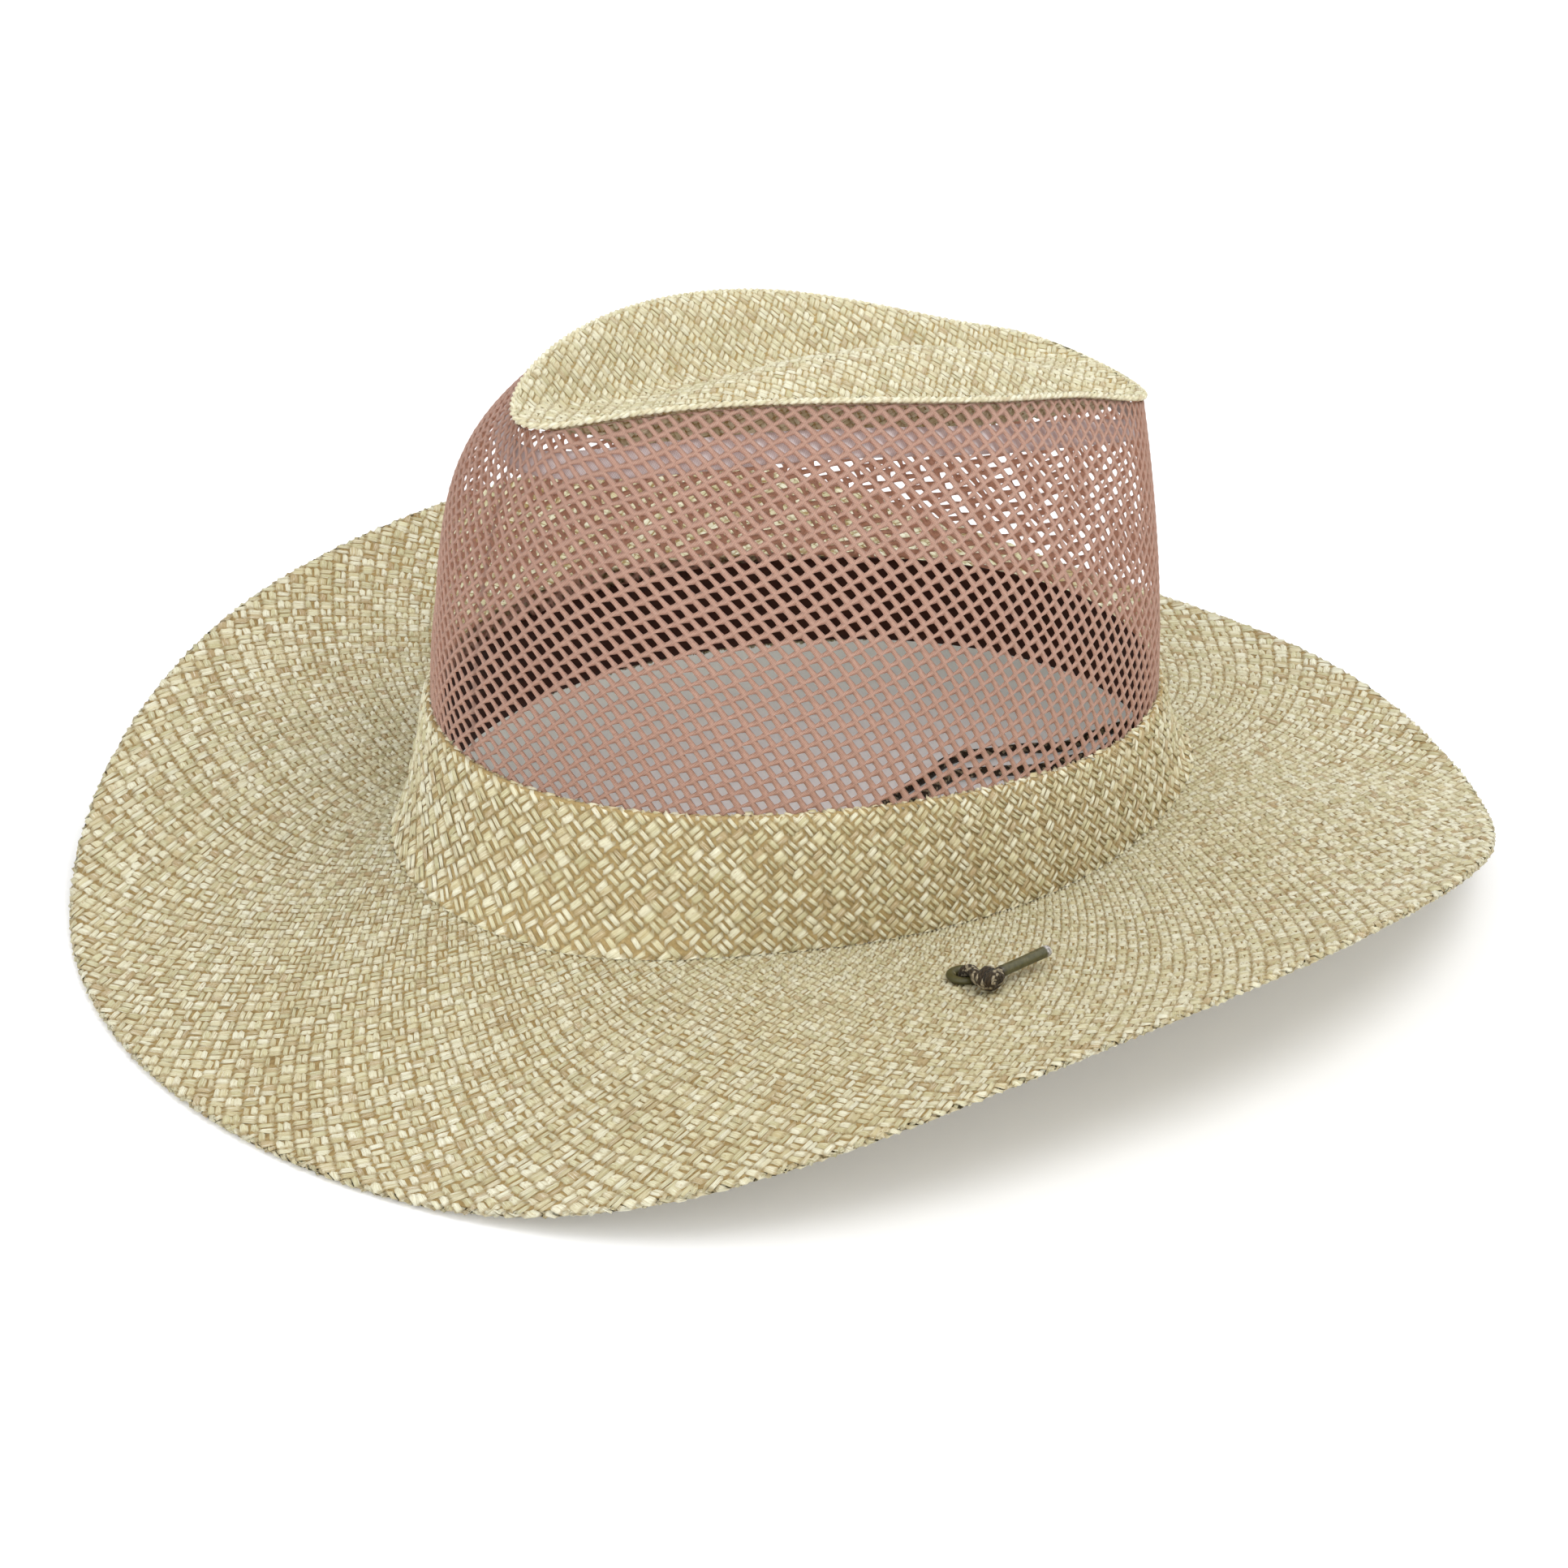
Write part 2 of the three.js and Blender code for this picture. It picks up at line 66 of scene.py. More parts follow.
# ---------------------------------------------------------------- the hat's surfaces, in mm
SER = dict(
    rimRadius=[184.76, 3.20, 11.12, 0.93, -1.79, -1.12, 0.83],
    rimHeight=[18.51, -2.22, -21.51, 1.95, 1.44, 0.31, 2.17],
    footHeight=[24.14, 4.38, -0.55],
    bandHeight=[55.29, 10.59, -1.56],
    sweatHeight=[52.80, 5.30, -0.26],
    tipHeight=[145.15, 20.13, -6.89, -1.61, -0.26, -0.31])
TIPW = np.array([[0, 0], [20, 10.4], [45, 23.7], [75, 38.25], [105, 40.95], [135, 29.0], [160, 23.4], [180, 0]], float)
DENT = np.array([[-89.3, 0, 0], [-80, 5, 5], [-64, 12, 13], [-44, 14, 18], [-20, 9, 18], [0, 5, 17], [20, 2.5, 15],
                 [42, .5, 13], [62, .5, 11], [82, 2.5, 8], [95, 2, 3], [101.9, 0, 0]], float)
TCY, THL, MOAT = 6.3, 95.6, .6
ST, MT, GAP, FLOOR, BULGE = 1.8, 1.0, .3, 1.5, 2.17


def ser(k, a):
    return sum(c * np.cos(i * a) for i, c in enumerate(SER[k]))


def mix(a, b, t):
    return a + (b - a) * t


def smooth(t):
    c = np.clip(t, 0, 1)
    return c * c * (3 - 2 * c)


def ellipse(a):
    return 1 / np.hypot(np.sin(a) / 83.2, np.cos(a) / 108.8)


def natural(xs, ys):
    n = len(xs)
    m, l, mu, z = np.zeros(n), np.ones(n), np.zeros(n), np.zeros(n)
    for i in range(1, n - 1):
        h0, h1 = xs[i] - xs[i - 1], xs[i + 1] - xs[i]
        al = 3 * ((ys[i + 1] - ys[i]) / h1 - (ys[i] - ys[i - 1]) / h0)
        l[i] = 2 * (xs[i + 1] - xs[i - 1]) - h0 * mu[i - 1]
        mu[i] = h1 / l[i]
        z[i] = (al - h0 * z[i - 1]) / l[i]
    for i in range(n - 2, 0, -1):
        m[i] = z[i] - mu[i] * m[i + 1]

    def f(x):
        x = np.asarray(x, float)
        i = np.clip(np.searchsorted(xs, x, side='left') - 1, 0, n - 2)
        h = xs[i + 1] - xs[i]
        t = np.clip(x, xs[0], xs[-1]) - xs[i]
        b = (ys[i + 1] - ys[i]) / h - h * (2 * m[i] + m[i + 1]) / 3
        return ys[i] + t * (b + t * (m[i] + t * (m[i + 1] - m[i]) / (3 * h)))
    return f


tip_width = natural(np.radians(TIPW[:, 0]), TIPW[:, 1])


def dent(col, x):
    x = np.asarray(x, float)
    i = np.clip(np.searchsorted(DENT[:, 0], x, side='left') - 1, 0, len(DENT) - 2)
    u = (x - DENT[i, 0]) / (DENT[i + 1, 0] - DENT[i, 0])
    return mix(DENT[i, col], DENT[i + 1, col], smooth(u) * .5 + .5 * np.clip(u, 0, 1))


def wrap(a):
    return (np.asarray(a) + np.pi) % PI2 - np.pi


def tip_edge(a):
    a = wrap(a)
    h, s = np.abs(a), np.where(a < 0, -1, 1)
    return np.stack([s * np.maximum(0, tip_width(h)), TCY - THL * np.cos(h), ser('tipHeight', h)], -1)


def sideness(a):
    return smooth((np.abs(np.sin(a)) - .3) / .5)


def flare(a):
    return 7 * (1 - sideness(a))


def foot_radius(a):
    return ellipse(a) + 1.5


def band(a, t, inset=0):
    top = ellipse(a) - mix(1.49, 2.71, np.sin(a) ** 2)
    r = mix(foot_radius(a), top, t) + flare(a) * np.abs(1 - t) ** 4 + .9 * np.sin(np.pi * t) - inset
    z = mix(ser('footHeight', a), ser('bandHeight', a), t)
    return np.stack([r * np.sin(a), -r * np.cos(a), z], -1)


def band_mid(a, t):
    """The middle of the band's straw: its foot bends down to the brim in front and behind, and laps over it a little at the sides; past t = 1 it turns in over the top edge."""
    t = np.asarray(t, float)
    p = band(a, np.minimum(t, 1), ST / 2)
    k, side = np.abs(1 - np.minimum(t, 1)) ** 9, sideness(a)
    out = np.stack([np.sin(a) + 0 * k, -np.cos(a) + 0 * k, 0 * k + 0 * side], -1)
    turn = np.clip((t - 1) / .05, 0, 1) * 2.4
    p = p + out * (.40 * side * k - .75 * (1 - np.cos(turn)))[..., None]
    p[..., 2] += -(1.15 - .45 * side) * k + .75 * np.sin(turn)
    return p


def brim(a, s):
    r0, r1 = foot_radius(a) + flare(a) - ST / 2, ser('rimRadius', a)
    z0 = ser('footHeight', a) - ST / 2 - GAP
    z1 = np.maximum(ser('rimHeight', a) - .6, 0) + FLOOR
    side = np.maximum(s, 0) ** 1.9 - .06 * np.sin(np.pi * s)
    front = 1 - np.maximum(1 - s, 0) ** 1.7
    r = mix(r0, r1, s)
    return np.stack([r * np.sin(a), -r * np.cos(a), mix(z0, z1, mix(front, side, sideness(a)))], -1)


def shoulder(a, t):
    c = np.clip((t - .3) / .73, 0, 1)
    return 5.2 * np.exp(-((np.degrees(np.abs(wrap(a))) - 40) / 26) ** 2) * np.sin(np.pi * c ** 1.3)


def wall(a, t):
    foot, top = band(a, 1, ST + GAP), tip_edge(a)
    g = (np.maximum(t, 0) ** BULGE)[..., None]
    p = mix(foot, top, g) + shoulder(a, t)[..., None] * np.stack([np.sin(a), -np.cos(a), 0 * a], -1)
    return np.concatenate([p[..., :2], mix(foot[..., 2], top[..., 2] - 2.2, t)[..., None]], -1)


def tip_z(x, y):
    at = np.arccos(np.clip((TCY - y) / THL, -1, 1))
    w = np.maximum(np.abs(tip_width(at)), 1e-3)
    c = np.minimum(1, np.abs(x) / w)
    ce, mo = dent(1, y), dent(2, y)
    drop = np.where(c > MOAT, mo * smooth((1 - c) / (1 - MOAT)), mix(mo, ce, smooth((MOAT - c) / MOAT)))
    notch = 1.3 * np.exp(-((y - 31) / 1.7) ** 2) * smooth((-x - 24) / 6) * smooth((1 - c) / .12)
    return ser('tipHeight', at) - drop - notch - ST / 2


def normals(f, a, s, up):
    """Unit normals of a surface f(a, s): outward or upward as up says."""
    e = 1e-3
    n = np.cross(f(a + e, s) - f(a - e, s), f(a, s + e) - f(a, s - e)) * up
    return n / np.maximum(np.linalg.norm(n, axis=-1, keepdims=True), 1e-12)


# ---------------------------------------------------------------- mesh helpers
def make(name, verts, faces, mats, uv=None, attrs=None, index=None, sharp=False, shift=None):
    """A mesh object from arrays: verts in metres, faces as (n, 3) or (n, 4) arrays, uv one pair a vertex."""
    me = bpy.data.meshes.new(name)
    faces = [f for f in (faces if isinstance(faces, list) else [faces]) if len(f)]
    flat = np.concatenate([f.ravel() for f in faces]).astype(np.int32)
    total = np.concatenate([np.full(len(f), f.shape[1]) for f in faces])
    start = np.concatenate([[0], np.cumsum(total)[:-1]]).astype(np.int32)
    me.vertices.add(len(verts))
    me.vertices.foreach_set("co", np.asarray(verts, np.float32).ravel())
    me.loops.add(len(flat))
    me.loops.foreach_set("vertex_index", flat)
    me.polygons.add(len(total))
    me.polygons.foreach_set("loop_start", start)
    if index is not None:
        me.polygons.foreach_set("material_index", np.asarray(index, np.int32))
    me.update(calc_edges=True)
    me.validate()
    if uv is not None:
        lay = me.uv_layers.new(name="OFBake")
        vi = np.zeros(len(me.loops), np.int32)
        me.loops.foreach_get("vertex_index", vi)
        luv = np.asarray(uv, np.float32)[vi]
        if len(me.loops) == len(flat):
            hi, lo = np.maximum.reduceat(luv[:, 0], start), np.minimum.reduceat(luv[:, 0], start)
            split = np.repeat(hi - lo > .5, total)
            luv[split & (luv[:, 0] < .5), 0] += .98
            if shift is not None:
                luv += np.repeat(shift, total, axis=0).astype(np.float32)
        lay.data.foreach_set("uv", luv.ravel())
    for key, val in (attrs or {}).items():
        val = np.asarray(val, np.float32)
        if val.ndim == 1:
            me.attributes.new(key, 'FLOAT', 'POINT').data.foreach_set("value", val)
        else:
            me.attributes.new(key, 'FLOAT_VECTOR', 'POINT').data.foreach_set("vector", val.ravel())
    if sharp:
        me.shade_flat()
    else:
        me.shade_smooth()
    for m in (mats if isinstance(mats, (list, tuple)) else [mats]):
        me.materials.append(m)
    ob = bpy.data.objects.new(name, me)
    bpy.context.scene.collection.objects.link(ob)
    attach(ob, "root")
    return ob


def quads(rows, cols, wrap_rows=False, wrap_cols=False, base=0):
    """Faces of a grid of vertices numbered row by row."""
    i = np.arange(rows if wrap_rows else rows - 1)
    j = np.arange(cols if wrap_cols else cols - 1)
    i, j = np.meshgrid(i, j, indexing='ij')
    i, j = i.ravel(), j.ravel()
    i1, j1 = (i + 1) % rows, (j + 1) % cols
    return base + np.stack([i * cols + j, i1 * cols + j, i1 * cols + j1, i * cols + j1], -1)


def unit(v):
    return v / np.maximum(np.linalg.norm(v, axis=-1, keepdims=True), 1e-12)


def along(points):
    return np.concatenate([[0], np.cumsum(np.linalg.norm(np.diff(points, axis=0), axis=1))])


def even(points, step):
    """The same line with points a step apart."""
    d = along(points)
    n = max(2, int(round(d[-1] / step)) + 1)
    t = np.linspace(0, d[-1], n)
    return np.stack([np.interp(t, d, points[:, k]) for k in range(3)], -1)


def carry(points, first=None):
    """Tangents and a frame that turns as little as it can along a line."""
    t = unit(np.gradient(points, axis=0))
    u = np.cross(t[0], first if first is not None else (0, 0, 1))
    if np.linalg.norm(u) < 1e-6:
        u = np.cross(t[0], (1, 0, 0))
    out = [unit(u)]
    for k in range(1, len(points)):
        v = out[-1] - t[k] * np.dot(out[-1], t[k])
        out.append(unit(v))
    u = np.array(out)
    return t, u, np.cross(t, u)


def tube(name, points, radius, sides, mats, relief=None, caps=True, aspect=40.0):
    """A round tube along points in metres, with (along, angle, 0) as the braid attribute in mm and turns."""
    n = len(points)
    t, u, v = carry(points)
    d = along(points)
    b = PI2 * np.arange(sides) / sides
    r = np.broadcast_to(np.asarray(radius, float).reshape(-1, 1), (n, sides)).copy()
    if relief is not None:
        r = r * relief(d[:, None] / MM, b[None, :] / PI2)
    ring = points[:, None, :] + r[..., None] * (np.cos(b)[None, :, None] * u[:, None, :] + np.sin(b)[None, :, None] * v[:, None, :])
    verts = ring.reshape(-1, 3)
    faces = [quads(n, sides, wrap_cols=True)[:, ::-1]]
    att = np.stack([np.repeat(d / MM, sides), np.tile(b / PI2, n), np.zeros(n * sides)], -1)
    if caps:
        k = len(verts)
        verts = np.concatenate([verts, points[:1], points[-1:]])
        i = np.arange(sides)
        faces.append(np.stack([np.full(sides, k), i, (i + 1) % sides], -1)[:, ::-1])
        faces.append(np.stack([np.full(sides, k + 1), (n - 1) * sides + (i + 1) % sides, (n - 1) * sides + i], -1)[:, ::-1])
        att = np.concatenate([att, [[0, 0, 0], [d[-1] / MM, 0, 0]]])
    return make(name, verts, faces, mats, attrs={"braid": att})


# ---------------------------------------------------------------- materials
class Look:
    """A short way to write a node material."""

    def __init__(self, name):
        self.mat = bpy.data.materials.new(name)
        self.mat.use_nodes = True
        self.t = self.mat.node_tree
        self.t.nodes.clear()
        self.out = self.t.nodes.new("ShaderNodeOutputMaterial")
        self.bsdf = self.t.nodes.new("ShaderNodeBsdfPrincipled")
        self.t.links.new(self.bsdf.outputs[0], self.out.inputs[0])

    def set(self, socket, value):
        if isinstance(value, bpy.types.NodeSocket):
            self.t.links.new(value, socket)
        elif value is not None:
            socket.default_value = value

    def base(self, **kw):
        for k, v in kw.items():
            self.set(self.bsdf.inputs[k.replace("_", " ")], v)

    def attr(self, name, what="Vector"):
        n = self.t.nodes.new("ShaderNodeAttribute")
        n.attribute_name = name
        return n.outputs[what]

    def place(self):
        return self.t.nodes.new("ShaderNodeTexCoord").outputs["Object"]

    def split(self, v):
        n = self.t.nodes.new("ShaderNodeSeparateXYZ")
        self.set(n.inputs[0], v)
        return n.outputs[0], n.outputs[1], n.outputs[2]

    def join(self, x, y, z):
        n = self.t.nodes.new("ShaderNodeCombineXYZ")
        for s, v in zip(n.inputs, (x, y, z)):
            self.set(s, v)
        return n.outputs[0]

    def m(self, op, a, b=None, c=None, clamp=False):
        n = self.t.nodes.new("ShaderNodeMath")
        n.operation = op
        n.use_clamp = clamp
        for s, v in zip(n.inputs, (a, b, c)):
            self.set(s, v)
        return n.outputs[0]

    def vm(self, op, a, b):
        n = self.t.nodes.new("ShaderNodeVectorMath")
        n.operation = op
        self.set(n.inputs[0], a)
        self.set(n.inputs[1], b)
        return n.outputs[0]

    def noise(self, vec, scale, detail=2.0, rough=.5, dist=0.0, color=False):
        n = self.t.nodes.new("ShaderNodeTexNoise")
        self.set(n.inputs["Vector"], vec)
        n.inputs["Scale"].default_value = scale
        n.inputs["Detail"].default_value = detail
        n.inputs["Roughness"].default_value = rough
        n.inputs["Distortion"].default_value = dist
        return n.outputs["Color" if color else "Fac"]

    def white(self, vec):
        n = self.t.nodes.new("ShaderNodeTexWhiteNoise")
        n.noise_dimensions = '3D'
        self.set(n.inputs["Vector"], vec)
        return n.outputs["Value"]

    def ramp(self, fac, stops, mode='LINEAR'):
        n = self.t.nodes.new("ShaderNodeValToRGB")
        self.set(n.inputs[0], fac)
        e = n.color_ramp.elements
        n.color_ramp.interpolation = mode
        while len(e) < len(stops):
            e.new(.5)
        for i, (p, c) in enumerate(stops):
            e[i].position = p
            e[i].color = (*((c, c, c) if np.isscalar(c) else c), 1)
        return n.outputs[0]

    def range(self, v, a, b, c=0.0, d=1.0, kind='SMOOTHSTEP'):
        n = self.t.nodes.new("ShaderNodeMapRange")
        n.interpolation_type = kind
        for s, x in zip(n.inputs, (v, a, b, c, d)):
            self.set(s, x)
        return n.outputs[0]

    def blend(self, fac, a, b, kind='MIX'):
        n = self.t.nodes.new("ShaderNodeMix")
        n.data_type = 'RGBA'
        n.blend_type = kind
        self.set(n.inputs[0], fac)
        for s, v in zip((n.inputs[6], n.inputs[7]), (a, b)):
            self.set(s, v if isinstance(v, bpy.types.NodeSocket) else (*v, 1))
        return n.outputs[2]

    def bump(self, height, distance, strength=1.0, after=None):
        n = self.t.nodes.new("ShaderNodeBump")
        n.inputs["Strength"].default_value = strength
        n.inputs["Distance"].default_value = distance
        self.set(n.inputs["Height"], height)
        if after is not None:
            self.set(n.inputs["Normal"], after)
        return n.outputs[0]


def srgb(r, g, b):
    return tuple((x / 255 / 12.92) if x / 255 <= .04045 else ((x / 255 + .055) / 1.055) ** 2.4 for x in (r, g, b))


def straw_look(name, gain=1.0, brown=.16, tan=.2, pale=0.0, end_shade=.62):
    """Doubled paper-straw strands: the straw attribute is (cells along, -1 to 1 across, strand number), low is 0 at a
    crest and 1 where the strand dives, and the colour is darkened by it as painted shade.
    brown and tan are the shares of the floats in those colours; the last argument sets how dark the painted shade at
    the two ends of a float is."""
    L = Look(name)
    x, y, z = L.split(L.attr("straw"))
    low = L.attr("low", "Fac")
    strand = L.white(L.join(0.0, 0.0, z))
    cell = L.white(L.join(L.m('FLOOR', x), 3.0, z))
    other = L.white(L.join(L.m('FLOOR', x), 8.0, z))
    k = gain
    tint = lambda r, g, b: tuple(k * c * f for c, f in zip(srgb(r, g, b), (.965, 1.0, .995)))
    # each strand has its own colour, each float a lighter or darker turn of it
    col = L.ramp(strand, [(0.0, tint(210, 196, 155)), (.3, tint(226, 215, 178)), (.55, tint(217, 210, 168)), (.8, tint(235, 226, 194)), (1.0, tint(214, 204, 161))])
    col = L.blend(L.range(other, .36, .92, 0, .85), col, tint(250, 246, 226))
    col = L.blend(L.m('MULTIPLY', L.m('LESS_THAN', other, .22), .62), col, tint(188, 180, 138))
    # some floats are stained tan, fewer are brown, more so on some strands
    lean = L.m('MULTIPLY_ADD', strand, -.10, L.m('ADD', cell, .05))
    col = L.blend(L.m('MULTIPLY', L.m('LESS_THAN', lean, brown + tan), .60), col, tint(200, 178, 134))
    col = L.blend(L.m('MULTIPLY', L.m('LESS_THAN', lean, brown), .80), col, tint(170, 136, 94))
    # fibres and creases of the paper, fine streaks along it and shorter flecks
    fib = L.noise(L.join(L.m('MULTIPLY', x, .9), L.m('MULTIPLY', y, 3.2), L.m('MULTIPLY', z, 3.7)), 2.0, 4.0, .65)
    col = L.blend(L.range(fib, .38, .72, .0, .34), col, tint(182, 164, 118))
    streak = L.noise(L.join(L.m('MULTIPLY', x, .5), L.m('MULTIPLY', y, 3.6), L.m('MULTIPLY', z, 5.3)), 1.6, 3.0, .6)
    col = L.blend(L.range(streak, .52, .68, .0, .75), col, tint(252, 248, 232))
    col = L.blend(L.range(streak, .47, .30, .0, .68), col, tint(170, 148, 100))
    fleck = L.noise(L.join(L.m('MULTIPLY', x, 1.6), L.m('MULTIPLY', y, 1.1), L.m('MULTIPLY', z, 9.1)), 1.7, 2.0, .5)
    col = L.blend(L.range(fleck, .62, .74, .0, .50), col, tint(172, 132, 92))
    # broad, faint change of colour over the whole hat, from handling and sun
    wide = L.noise(L.place(), 11.0, 3.0, .5)
    col = L.blend(L.range(wide, .30, .72, .0, .22), col, tint(204, 190, 144))
    if pale:
        col = L.blend(pale, col, tint(240, 233, 210))
    # painted shade: the two ends of a float go down between its neighbours, and there, along its two sides and where
    # low is high, the colour is darkened towards a shade brown
    end = L.m('ABSOLUTE', L.m('SUBTRACT', L.m('FRACT', x), .5))
    dive = L.range(end, .24, .47)
    edge = L.m('POWER', L.m('ABSOLUTE', y), 3.0)
    dark = L.m('MULTIPLY_ADD', edge, .26, L.m('MULTIPLY_ADD', dive, end_shade, L.m('MULTIPLY', low, .24)), clamp=True)
    col = L.blend(dark, col, tint(158, 134, 90))
    nrm = L.bump(fib, .00022, .8)
    L.base(Base_Color=col, Roughness=L.range(fib, .3, .8, .46, .66), Normal=nrm)
    L.bsdf.inputs["Specular IOR Level"].default_value = .42
    return L.mat


def gap_shade_look(name, r=160, g=134, b=90):
    """Painted shade for the gaps of the weave: a brown sheet under the strands, coloured as the shadow that shows
    between them.
    """
    L = Look(name)
    n = L.noise(L.place(), 900.0, 3.0, .6)
    wide = L.noise(L.place(), 16.0, 2.0, .5)
    col = L.ramp(n, [(0.25, srgb(r - 34, g - 34, b - 30)), (.55, srgb(r, g, b)), (.9, srgb(r + 36, g + 36, b + 30))])
    col = L.blend(L.range(wide, .3, .7, 0, .3), col, srgb(r + 20, g + 16, b + 4))
    L.base(Base_Color=col, Roughness=L.range(n, .3, .7, .75, .92), Normal=L.bump(n, .0002, .7))
    L.bsdf.inputs["Specular IOR Level"].default_value = .2
    return L.mat


def net_look():
    """Pinkish tan knitted net: fine wales along each strand; the net attribute is the place on the cloth in mm."""
    L = Look("crown_net")
    x, y, z = L.split(L.attr("net"))
    wale = L.m('SINE', L.m('MULTIPLY', L.m('ADD', x, y), 9.2))
    cours = L.m('SINE', L.m('MULTIPLY', L.m('SUBTRACT', x, y), 9.2))
    knit = L.m('MULTIPLY_ADD', L.m('ADD', wale, cours), .25, .5)
    n = L.noise(L.join(x, y, z), .9, 4.0, .6)
    col = L.ramp(L.m('MULTIPLY_ADD', n, .6, L.m('MULTIPLY', knit, .4)), [
        (.18, srgb(188, 150, 131)), (.42, srgb(221, 187, 168)), (.62, srgb(234, 203, 185)), (.88, srgb(249, 226, 211))])
    wide = L.noise(L.place(), 14.0, 3.0, .5)
    col = L.blend(L.range(wide, .35, .7, 0, .2), col, srgb(194, 156, 138))
    L.base(Base_Color=col, Roughness=.62, Normal=L.bump(knit, .00022, .8, L.bump(n, .0001, .5)))
    glow = L.t.nodes.new("ShaderNodeBsdfTranslucent")
    L.set(glow.inputs[0], L.blend(.5, col, srgb(246, 206, 186)))
    both = L.t.nodes.new("ShaderNodeMixShader")
    both.inputs[0].default_value = .52
    L.t.links.new(L.bsdf.outputs[0], both.inputs[1])
    L.t.links.new(glow.outputs[0], both.inputs[2])
    L.t.links.new(both.outputs[0], L.out.inputs[0])
    L.bsdf.inputs["Sheen Weight"].default_value = .25
    L.bsdf.inputs["Sheen Roughness"].default_value = .45
    L.bsdf.inputs["Specular IOR Level"].default_value = .35
    return L.mat


def cloth_look(name, dark, mid, light, scale=2.6, sheen=.2, rough=.8, along_x=1.0):
    """A closely woven strip: the cloth attribute is the place on it in mm (length, height, 0)."""
    L = Look(name)
    x, y, z = L.split(L.attr("cloth"))
    warp = L.m('SINE', L.m('MULTIPLY', x, scale * PI2 * along_x))
    weft = L.m('SINE', L.m('MULTIPLY', y, scale * PI2))
    weave = L.m('MULTIPLY_ADD', L.m('MULTIPLY', warp, weft), .5, .5)
    n = L.noise(L.join(x, y, 0.0), .35, 4.0, .6)
    fac = L.m('MULTIPLY_ADD', weave, .35, L.m('MULTIPLY', n, .65))
    col = L.ramp(fac, [(.2, srgb(*dark)), (.5, srgb(*mid)), (.85, srgb(*light))])
    wear = L.noise(L.join(L.m('MULTIPLY', x, .06), L.m('MULTIPLY', y, .4), 4.0), 1.0, 3.0, .6)
    col = L.blend(L.range(wear, .5, .8, 0, .35), col, srgb(*light))
    L.base(Base_Color=col, Roughness=rough, Normal=L.bump(weave, .00015, .6, L.bump(n, .0004, .5)))
    L.bsdf.inputs["Sheen Weight"].default_value = sheen
    L.bsdf.inputs["Specular IOR Level"].default_value = .25
    return L.mat


def braid_look(name, across=8.0, pitch=1.25):
    """Round braid: the braid attribute is (mm along, turn 0 to 1, 0). Sixteen carriers in two directions."""
    L = Look(name)
    d, turn, z = L.split(L.attr("braid"))
    a = L.m('MULTIPLY_ADD', turn, across, L.m('DIVIDE', d, pitch))
    b = L.m('SUBTRACT', L.m('MULTIPLY', turn, across), L.m('DIVIDE', d, pitch))
    fa, fb = L.m('FRACT', a), L.m('FRACT', b)
    ia, ib = L.m('FLOORED_MODULO', L.m('FLOOR', a), across), L.m('FLOORED_MODULO', L.m('FLOOR', b), across)
    odd = L.m('FLOORED_MODULO', L.m('ADD', L.m('FLOOR', a), L.m('FLOOR', b)), 2.0)
    ha = L.m('SINE', L.m('MULTIPLY', fa, math.pi))
    hb = L.m('SINE', L.m('MULTIPLY', fb, math.pi))
    h = L.m('ADD', L.m('MULTIPLY', hb, odd), L.m('MULTIPLY', ha, L.m('SUBTRACT', 1.0, odd)))
    ca = L.white(L.join(ia, 1.0, 0.0))
    cb = L.white(L.join(ib, 2.0, 0.0))
    pick = L.m('ADD', L.m('MULTIPLY', cb, odd), L.m('MULTIPLY', ca, L.m('SUBTRACT', 1.0, odd)))
    fine = L.noise(L.join(L.m('MULTIPLY', d, 1.3), L.m('MULTIPLY', turn, 20.0), 0.0), 3.0, 3.0, .6)
    dark = L.ramp(fine, [(.25, srgb(36, 26, 12)), (.6, srgb(62, 48, 27)), (.9, srgb(94, 76, 46))])
    pale = L.ramp(fine, [(.25, srgb(118, 104, 80)), (.6, srgb(164, 152, 126)), (.9, srgb(206, 196, 172))])
    col = L.blend(L.range(pick, .58, .62), dark, pale)
    # painted shade: the braid is darkened towards near-black in the grooves between its carriers
    col = L.blend(L.range(h, .55, .05, 0, .7), col, srgb(22, 16, 10))
    L.base(Base_Color=col, Roughness=.6, Normal=L.bump(h, .0003, 1.0, L.bump(fine, .0001, .5)))
    L.bsdf.inputs["Sheen Weight"].default_value = .06
    L.bsdf.inputs["Specular IOR Level"].default_value = .3
    return L.mat


def enamel_look(name):
    """Dark olive enamel on pressed brass, worn thin on its high edges."""
    L = Look(name)
    n = L.noise(L.place(), 420.0, 4.0, .6)
    geo = L.t.nodes.new("ShaderNodeNewGeometry").outputs["Pointiness"]
    worn = L.m('MULTIPLY', L.range(geo, .52, .60), L.range(n, .42, .62))
    col = L.ramp(n, [(.3, srgb(58, 55, 24)), (.6, srgb(78, 74, 36)), (.85, srgb(98, 94, 54))])
    col = L.blend(worn, col, srgb(150, 138, 96))
    L.base(Base_Color=col, Roughness=L.range(n, .3, .7, .36, .52), Normal=L.bump(n, .00006, .5))
    L.base(Metallic=.1)
    return L.mat


